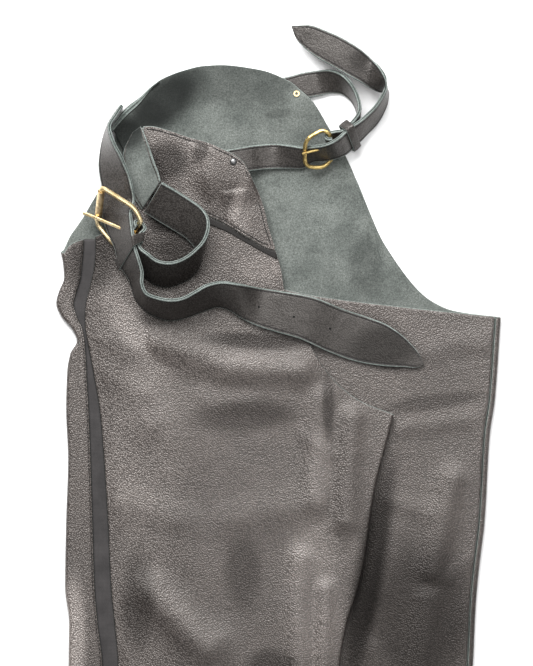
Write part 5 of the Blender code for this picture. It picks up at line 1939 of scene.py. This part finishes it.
@dataclass
class Strap:
    """A strap of two plies, or of one, sewn along its edges."""

    name: str
    frames: Frames
    thickness: float = 3.6
    plies: int = 2
    stitched: bool = True
    edge_in: float = 2.7
    puff: float = 0.22
    looks: tuple[Look, Look] = (Look.STRAP, Look.STRAP)

    def profile(self) -> list[tuple[float, float, float, Look]]:
        """Half of the section round one edge, from the middle of the outer face.

        Returns:
            Rows of the share of the half width, millimetres in from the edge, the share of the
            half thickness, and the finish of the strip that starts there.
        """
        outer, inner = self.looks
        seam = 0.86 if self.stitched else 0.97
        groove = Look.SEAM if self.stitched else inner
        edge = [
            (0.0, 0.0, 1.0 + self.puff / self.thickness, outer),
            (0.5, 0.0, 1.0 + 0.6 * self.puff / self.thickness, outer),
            (1.0, self.edge_in + 1.6, 1.0, outer),
            (1.0, self.edge_in + 0.6, 0.96, groove),
            (1.0, self.edge_in, seam, groove),
            (1.0, self.edge_in - 0.5, 0.97, outer),
            (1.0, 1.15, 0.97, Look.STRAP_EDGE),
            (1.0, 0.3, 0.86, Look.STRAP_EDGE),
            (1.0, 0.0, 0.55, Look.STRAP_EDGE),
        ]
        if self.plies == 2:
            edge += [
                (1.0, 0.1, 0.24, Look.PLY_LINE),
                (1.0, 0.95, 0.0, Look.PLY_LINE),
                (1.0, 0.1, -0.24, Look.STRAP_EDGE),
            ]
        else:
            edge += [(1.0, 0.0, 0.0, Look.STRAP_EDGE)]
        edge += [
            (1.0, 0.0, -0.55, Look.STRAP_EDGE),
            (1.0, 0.3, -0.86, Look.STRAP_EDGE),
            (1.0, 1.15, -0.97, inner),
            (1.0, self.edge_in - 0.5, -0.97, groove),
            (1.0, self.edge_in, -seam, groove),
            (1.0, self.edge_in + 0.6, -0.96, inner),
            (1.0, self.edge_in + 1.6, -1.0, inner),
            (0.5, 0.0, -1.0 - 0.6 * self.puff / self.thickness, inner),
        ]
        return edge

    def build(self, replaces: str, held: str, rests_on: list[str], slot: str) -> Piece:
        """Makes the strap and its stitches.

        Args:
            replaces: The CAD node it stands for.
            held: How it is held; not used.
            rests_on: What it lies on; not used.
            slot: A material slot's name; not used.

        Returns:
            The strap.
        """
        middle, wide, out = self.frames.ways()
        half = np.linalg.norm(self.frames.high - self.frames.low, axis=1) / 2
        outer, inner = self.looks
        room = np.minimum(1.0, half / np.median(half))
        right = self.profile()
        places = [(half * share - inward * room, level) for share, inward, level, _look in right]
        places.append((np.zeros_like(half), -1.0 - self.puff / self.thickness))
        places += [(-reach, level) for reach, level in places[-2:0:-1]]
        looks = [row[3] for row in right] + [inner]
        looks += looks[-3::-1]
        loops = [
            middle + wide * reach[:, None] + out * (level * self.thickness / 2)
            for reach, level in places
        ]
        grid = np.stack(loops, axis=1)
        rows, count = grid.shape[:2]
        index = np.arange(rows * count).reshape(rows, count)
        following = np.roll(index, -1, axis=1)
        quads = np.stack([index[:-1], following[:-1], following[1:], index[1:]], -1)
        order = [outer, inner, Look.STRAP_EDGE, Look.PLY_LINE, Look.SEAM]
        marks = np.tile([order.index(look) for look in looks], (rows - 1, 1))
        caps = [index[0][::-1].tolist(), index[-1].tolist()]
        faces = quads.reshape(-1, 4).tolist() + caps
        marks = np.append(marks.reshape(-1), [order.index(Look.STRAP_EDGE)] * len(caps))
        made = ROOM.make(self.name, grid.reshape(-1, 3), faces, order, marks)
        ROOM.face_out(made)
        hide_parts(replaces)
        if self.stitched:
            self.sew(middle, wide, out, half)
        return made

    def sew(self, middle: Array, wide: Array, out: Array, half: Array) -> None:
        """Sews along both edges, on both faces.

        Args:
            middle: Each section's middle.
            wide: Its way across.
            out: Its outward way.
            half: Its half width.
        """
        rows = []
        for side in (-1.0, 1.0):
            for face in (-1.0, 1.0):
                reach = np.maximum(half - self.edge_in, half * 0.15)
                path = middle + wide * (side * reach)[:, None]
                path = path + out * (face * (self.thickness / 2 * 0.87))
                rows.append((path, out * face))
        STITCHES.make(f"{self.name}_thread", rows, "strap_leather")


@dataclass
class Keeper:
    """A band that holds a strap's end, open at both ends."""

    name: str
    frames: list[tuple[Array, Array, Array, Array]]
    depths: tuple[float, ...]
    half_width: float
    strap: float = 3.6
    wall: float = 1.8
    slack: float = 2.0
    steps: int = 14

    def loop(self, half_wide: float, half_out: float, corner: float) -> Array:
        """Points round a rectangle with round corners, along the width and outward.

        Args:
            half_wide: Half its width.
            half_out: Half its height.
            corner: Its corners' radius.

        Returns:
            The points.
        """
        made = []
        for quarter, (side_wide, side_out) in enumerate(((1, 1), (-1, 1), (-1, -1), (1, -1))):
            for angle in np.radians(90 * quarter + np.linspace(0, 90, 6)):
                made.append(
                    (
                        side_wide * (half_wide - corner) + corner * math.cos(angle),
                        side_out * (half_out - corner) + corner * math.sin(angle),
                    )
                )
        return np.array(made)

    def build(self, replaces: str) -> Piece:
        """Makes the band.

        Args:
            replaces: The CAD node it stands for.

        Returns:
            The band.
        """
        ends = []
        for wall in (self.wall, 0.0):
            rings = []
            for (centre, _run, wide, out), depth in zip(self.frames, self.depths):
                out_side = self.strap / 2 + LAY.gap
                in_side = depth + self.strap / 2 + self.slack
                half_out = (out_side + in_side) / 2 + wall
                loop = self.loop(self.half_width + wall, half_out, 0.6 + wall)
                middle = centre + out * (out_side - in_side) / 2
                rings.append(middle + loop[:, :1] * wide + loop[:, 1:] * out)
            ends.append(rings)
        (outer_start, outer_end), (inner_start, inner_end) = ends
        t = np.linspace(0.0, 1.0, self.steps)[:, None, None]
        outer = outer_start[None] * (1 - t) + outer_end[None] * t
        inner = inner_start[None] * (1 - t) + inner_end[None] * t
        swell = np.sin(np.pi * t) * 0.5
        way = outer - outer.mean(axis=1, keepdims=True)
        outer = outer + way / np.linalg.norm(way, axis=2, keepdims=True) * swell
        lip_start = outer_start * 0.6 + inner_start * 0.4
        lip_end = outer_end * 0.6 + inner_end * 0.4
        sheets = [lip_start[None], outer, lip_end[None], inner[::-1]]
        grid = np.concatenate(sheets)
        rows, count = grid.shape[:2]
        index = np.arange(rows * count).reshape(rows, count)
        down, aside = np.roll(index, -1, axis=0), np.roll(index, -1, axis=1)
        both = np.roll(down, -1, axis=1)
        quads = np.stack([index, aside, both, down], -1).reshape(-1, 4)
        marks = np.zeros((rows, count))
        marks[0] = marks[self.steps] = marks[self.steps + 1] = marks[-1] = 1
        made = ROOM.make(
            self.name, grid.reshape(-1, 3), quads, [Look.STRAP, Look.STRAP_EDGE], marks.reshape(-1)
        )
        ROOM.face_out(made)
        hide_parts(replaces)
        return made


def bar_wrap(
    bar: Array,
    run: Array,
    wide: Array,
    out: Array,
    wire: float,
    half_width: float,
    strap: float = 3.6,
) -> list[tuple[Array, Array]]:
    """A strap's end round a bar: along its inner side, round it and back along its outer side.

    Args:
        bar: The bar's middle.
        run: The way the strap runs.
        wide: The way across the strap.
        out: The outward way.
        wire: The bar's thickness, in millimetres.
        half_width: Half the strap's width, in millimetres.
        strap: The strap's thickness, in millimetres.

    Returns:
        The sections, each an upper and a lower edge.
    """
    radius = wire / 2 + LAY.gap + strap / 2
    centres = [bar - out * radius + run * 5.0, bar - out * radius]
    for turn in np.radians(np.linspace(-60.0, 60.0, 7)):
        centres.append(bar - run * radius * math.cos(turn) + out * radius * math.sin(turn))
    centres += [bar + out * radius, bar + out * radius + run * 1.5]
    return [(centre + wide * half_width, centre - wide * half_width) for centre in centres]


@dataclass
class BuckledStrap:
    """A pointed strap through a buckle, and the strap and keeper that hold it."""

    strap: float = 3.6
    heel_slack: float = 0.9
    keeper_edge: float = 1.3
    width: float = 38.0
    wire: float = 5.0
    heel_row: int = 11
    keeper_rows: tuple[int, int] = (12, 13)
    keeper_depths: tuple[float, float] = (8.4, 5.6)

    def holding(self, pointed: Frames, held: Frames) -> Frames:
        """The held strap's sections, on through the keeper and round the buckle's bar.

        Args:
            pointed: The pointed strap's sections.
            held: The held strap's own sections.

        Returns:
            All the sections, smoothed.
        """
        centre, run, wide, out = pointed.at(self.heel_row)
        bar = centre - out * (self.wire / 2 + 2 * LAY.gap + 1.5 * self.strap + self.heel_slack)
        sections = []
        for index, inner in zip(reversed(self.keeper_rows), reversed(self.keeper_depths)):
            place, _run, way, outward = pointed.at(index)
            middle = place - outward * inner
            sections.append((middle + way * self.width / 2, middle - way * self.width / 2))
        sections += bar_wrap(bar, run, wide, out, self.wire, self.width / 2)
        return held.with_sections(sections).smoothed(8)

    def sew_strap(self, name: str, node: str, frames: Frames, *rests_on: str) -> None:
        """Makes one strap of two plies that stands for a CAD node."""
        Strap(name, frames, self.strap).build(node, "folded", list(rests_on), "strap_leather")

    def keep(self, name: str, node: str, pointed: Frames) -> None:
        """Makes the keeper round both straps."""
        frames = [pointed.at(index) for index in self.keeper_rows]
        Keeper(name, frames, self.keeper_depths, self.width / 2 + self.keeper_edge).build(node)


@dataclass
class WaistBelt(BuckledStrap):
    """Leg B's belt strap, which goes through the roller buckle on leg A's strap."""

    hole_places: Table = ((259, 307), (294.6, 317), (329.4, 328.6))
    hole_radius: float = 1.15
    tip: tuple[float, float] = (423.4, 364.6)

    def build(self) -> None:
        """Builds the straps, the yoke's end and the keeper."""
        belt = Frames.from_rows(BELT_ROWS, self.strap / 2)
        smooth = belt.pointed(*self.tip).smoothed(9)
        self.sew_strap("belt_of_leg_b", "belt_strap_b", smooth, "leg_a_front", "leg_b_front")
        self.add_holes(smooth)
        held = self.holding(belt, Frames.from_rows(BUCKLE_STRAP_ROWS, self.strap / 2))
        self.sew_strap("looped_strap_of_leg_a", "buckle_strap_a", held, "leg_a_front")
        end = Frames.from_rows(YOKE_END_ROWS, LAY.leather / 2)
        Strap(
            "yoke_end_of_leg_a",
            end.smoothed(10),
            LAY.leather,
            plies=1,
            stitched=False,
            looks=(Look.SUEDE, Look.GRAIN),
        ).build("yoke_end_a", "folded", ["leg_a_front"], "grain_leather")
        self.keep("keeper_of_belt", "belt_keeper", belt)

    def add_holes(self, belt: Frames) -> None:
        """Punches the holes along the belt's end as small dished discs of near-black painted
        shade.

        Args:
            belt: The belt's sections.
        """
        middle, wide, out = belt.ways()
        points, faces = [], []
        sides = 14
        for across, down in self.hole_places:
            place = LAY.place(np.array(across), np.array(down), np.array(0.0))
            gap = np.linalg.norm(middle[:, :2] - place[:2], axis=1)
            index = int(np.argmin(gap))
            offset = (place[:2] - middle[index, :2]) @ wide[index, :2]
            offset /= max(np.linalg.norm(wide[index, :2]) ** 2, 1e-6)
            face = -1.0 if out[index, 2] < 0 else 1.0
            centre = middle[index] + wide[index] * offset
            centre = centre + out[index] * face * (self.strap / 2 + 0.16)
            run = np.cross(wide[index], out[index])
            first = len(points)
            for reach, rise in ((1.0, 0.0), (0.75, 0.02), (0.0, 0.03)):
                for turn in np.arange(sides) * 2 * np.pi / sides:
                    spot = wide[index] * math.cos(turn) + run * math.sin(turn)
                    spot = spot * self.hole_radius * reach
                    points.append(centre + spot + out[index] * face * rise)
            faces += ring_faces(3, sides, first)
        # The discs are painted shade that stands for the dark inside of each hole.
        made = ROOM.make("painted_hole_shade_of_belt", np.array(points), faces, [Look.PAINTED_HOLE_SHADE])


@dataclass
class FrontStrap(BuckledStrap):
    """Leg A's front strap, which goes through the small buckle on leg B's strap."""

    width: float = 25.0
    wire: float = 4.2
    heel_row: int = 9
    keeper_rows: tuple[int, int] = (11, 12)
    keeper_depths: tuple[float, float] = (4.4, 4.4)
    tip: tuple[float, float] = (291.6, 27.2)

    @staticmethod
    def under_yoke(across: Array, down: Array) -> Array:
        """The top of the panels without leg A's yoke."""
        return LAY.top(across, down, yoke=False)

    def build(self) -> None:
        """Builds the straps and the keeper."""
        billet = Frames.from_rows(BILLET_ROWS, self.strap / 2, self.under_yoke)
        smooth = billet.pointed(*self.tip).smoothed(9)
        self.sew_strap("front_strap_of_leg_a", "front_strap_a", smooth, "leg_b_front")
        short = Frames.from_rows(
            SHORT_STRAP_ROWS, self.strap / 2, lambda across, down: np.zeros_like(across)
        )
        held = self.holding(billet, short)
        self.sew_strap("buckle_strap_of_leg_b", "front_buckle_strap_b", held, "leg_b_front")
        self.keep("keeper_of_front_strap", "front_keeper", billet)


@dataclass
class Zips:
    """The zips' tapes and coils, and the thread along them."""

    under_strip: float = 5.0
    under_front: float = 8.0
    gap: float = 0.7
    short: float = 1.0
    coil_pitch: float = 2.2
    coil_radius: float = 0.95
    coil_in: float = 1.4
    coil_top: float = 262.0
    slider_room: float = 48.0
    tops: tuple[float, float] = (239.0, 214.0)

    def tape(
        self,
        leg: str,
        table: Table,
        top: float,
        hem: float,
        level_of: Height,
        rests_on: str,
    ) -> None:
        """Lays one tape.

        Args:
            leg: The leg's letter.
            table: The outline of the leg.
            top: Its upper end, a level down.
            hem: The leg's hem, a level down.
            level_of: The tape's height at a place.
            rests_on: The node it lies on; not used.
        """
        grid = columns_down(
            np.linspace(0.0, 1.0, 9),
            300,
            lambda y: read_soft(table, y, 2) - self.under_strip,
            lambda y: read_soft(table, y, 3) + self.under_front,
            lambda x: np.full_like(x, top),
            hem - self.short,
            level_of,
        )
        made = ROOM.sheet(f"tape_of_leg_{leg}", grid, LAY.tape, (Look.TAPE,) * 3, 0.2)
        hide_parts(f"zip_tape_{leg}")

    def coil(self, name: str, table: Table, hem: float, level_of: Height, side: float) -> None:
        """Winds the zip's coil along the tape, just under the front's edge.

        Args:
            name: The piece's name.
            table: The outline of the leg.
            hem: The leg's hem, a level down.
            level_of: The tape's height at a place.
            side: 1 on top of the tape, -1 under it.
        """
        down = np.arange(self.coil_top + 4.0, hem - self.slider_room - 3.0, self.coil_pitch)
        across = read_soft(table, down, 3) + self.coil_in
        rise = side * (LAY.tape / 2 + self.coil_radius * 0.55)
        centres = LAY.place(across, down, level_of(across, down) + rise)
        sides = 8
        turns = np.arange(sides) * 2 * np.pi / sides
        points = []
        for reach, where in ((0.5, -0.42), (1.0, -0.2), (1.0, 0.2), (0.5, 0.42)):
            loop = np.stack(
                [
                    np.cos(turns) * 1.5 * reach,
                    np.full(sides, where * self.coil_pitch),
                    np.sin(turns) * self.coil_radius * 0.5 * reach,
                ],
                axis=-1,
            )
            points.append(centres[:, None, :] + loop[None])
        points = np.stack(points, axis=1).reshape(-1, 3)
        faces = repeated(ring_faces(4, sides), len(centres), 4 * sides)
        made = ROOM.make(name, points, faces, [Look.THREAD])

    def build(self) -> None:
        """Builds both zips."""
        rise = (LAY.leather + LAY.tape) / 2 + self.gap
        levels = (lambda x, y: LAY.back_a(x, y) + rise, lambda x, y: LAY.front_b(x, y) + rise)
        self.tape("a", OUTSEAM_A, self.tops[0], LAY.hem_a, levels[0], "leg_a_back")
        self.tape("b", OUTSEAM_B, self.tops[1], LAY.hem_b, levels[1], "leg_b_front")
        self.coil("coil_of_leg_a", OUTSEAM_A, LAY.hem_a, levels[0], 1.0)
        self.coil("coil_of_leg_b", OUTSEAM_B, LAY.hem_b, levels[1], -1.0)


@dataclass
class PanelThread:
    """The rows of thread that show on the panels."""

    inset: float = 3.2

    def build(self) -> None:
        """Sews the yoke's border and the strip beside leg A's zip."""
        x = np.linspace(147.0, 243.0, 40)
        top = np.stack([x, read_soft(WAIST_A, x) - 1.0 + self.inset], axis=-1)
        side = np.array(
            [(245.6, 171.0), (253.6, 190.0), (260.5, 209.0), (265.4, 229.0), (271.0, 245.0)]
        )
        x = np.linspace(268.0, 147.0, 44)
        bottom = np.stack([x, read_soft(YOKE_BOTTOM_A, x) - self.inset], axis=-1)
        rows = []
        for path in (top, side, bottom):
            rows.append(
                STITCHES.on_panel(path, lambda a, d: LAY.yoke_a(a, d) + LAY.leather / 2 + 0.35)
            )
        STITCHES.make("yoke_thread", rows, "grain_leather", lined=True)
        down = np.linspace(246.0, LAY.hem_a - 6.0, 400)
        strip = np.stack([read_soft(OUTSEAM_A, down, 2) - 2.2, down], axis=-1)
        rows = [STITCHES.on_panel(strip, lambda a, d: LAY.strip_a(a, d) + LAY.leather / 2)]
        STITCHES.make("strip_thread", rows, "grain_leather")


@dataclass
class Hardware:
    """The metal pieces, whose shapes are the solids' own."""

    finishes: tuple[tuple[str, Look], ...] = (
        ("big_buckle_frame", Look.PALE_BRASS),
        ("big_buckle_roller", Look.ROLLER),
        ("big_buckle_tongue", Look.PALE_BRASS),
        ("small_buckle_frame", Look.OLD_BRASS),
        ("small_buckle_tongue", Look.OLD_BRASS),
        ("rivet_a", Look.GUNMETAL),
        ("rivet_b", Look.PALE_BRASS),
        ("zip_slider_a", Look.GUNMETAL),
        ("zip_slider_b", Look.GUNMETAL),
        ("zip_pull_a", Look.GUNMETAL),
        ("zip_pull_b", Look.GUNMETAL),
    )

    def build(self) -> None:
        """Dresses each node in its metal."""
        for node, look in self.finishes:
            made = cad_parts[node]
            made.data.materials.clear()
            made.data.materials.append(ROOM.finish(look))
            LOG.info("%s dressed in %s", node, look.value)


@dataclass
class Studio:
    """A pale floor, soft lights and a camera straight above the chaps."""

    picture: tuple[float, float] = (533.0, 666.0)
    camera_height: float = 6.0
    floor_size: float = 6.0
    sensor: float = 36.0
    target: Place = (0.0, 0.15, 0.0)
    lights: tuple[tuple[str, Place, tuple[float, float], float], ...] = (
        ("key", (-0.5, 1.9, 1.5), (1.8, 1.2), 110.0),
        ("top", (0.4, 0.7, 2.4), (1.6, 1.6), 26.0),
        ("fill", (0.9, -1.3, 1.5), (1.2, 0.8), 5.0),
    )

    def light(self, name: str, place: Place, size: tuple[float, float], power: float) -> None:
        """Hangs one soft light that faces the chaps.

        Args:
            name: The light's name.
            place: Where it hangs, in metres.
            size: Its width and height, in metres.
            power: Its power, in watts.
        """
        data = bpy.data.lights.new(name, "AREA")
        data.shape = "RECTANGLE"
        data.size, data.size_y = size
        data.energy = power
        made = bpy.data.objects.new(name, data)
        made.location = place
        way = np.array(self.target) - np.array(place)
        made.rotation_euler = Vector(way).to_track_quat("-Z", "Y").to_euler()
        bpy.context.scene.collection.objects.link(made)

    def build(self) -> None:
        """Builds the floor, the lights and the camera."""
        mesh = bpy.data.meshes.new("floor")
        half = self.floor_size / 2
        corners = [(-half, -half), (half, -half), (half, half), (-half, half)]
        mesh.from_pydata([(x, y, -0.0006) for x, y in corners], [], [[0, 1, 2, 3]])
        finish = Nodes("floor_paper")
        finish.plain(base_color=(0.93, 0.93, 0.93, 1.0), roughness=0.9, specular_ior_level=0.1)
        mesh.materials.append(finish.material)
        floor = bpy.data.objects.new("floor", mesh)
        bpy.context.scene.collection.objects.link(floor)

        world = bpy.data.worlds.new("studio")
        world.use_nodes = True
        sky = world.node_tree.nodes["Background"]
        sky.inputs["Color"].default_value = (1.0, 1.0, 1.0, 1.0)
        sky.inputs["Strength"].default_value = 0.25
        bpy.context.scene.world = world
        for light in self.lights:
            self.light(*light)

        width, height = self.picture
        data = bpy.data.cameras.new("camera")
        data.sensor_width = self.sensor
        data.lens = self.sensor * self.camera_height / (height * MM)
        data.clip_start, data.clip_end = 0.1, 30.0
        camera = bpy.data.objects.new("camera", data)
        middle = LAY.place(np.array(width / 2), np.array(height / 2), np.array(0.0)) * MM
        camera.location = (middle[0], middle[1], self.camera_height)
        bpy.context.scene.collection.objects.link(camera)
        bpy.context.scene.camera = camera
        bpy.context.scene.view_settings.view_transform = "Standard"


def main() -> None:
    """Builds the chaps' looks, piece by piece, then the studio round them."""
    logging.basicConfig(level=logging.INFO, format="%(message)s")
    groups = (LegB, LegA, Overlays, Zips, WaistBelt, FrontStrap, PanelThread, Hardware, Studio)
    for group in groups:
        group().build()


if __name__ == "__main__":
    main()
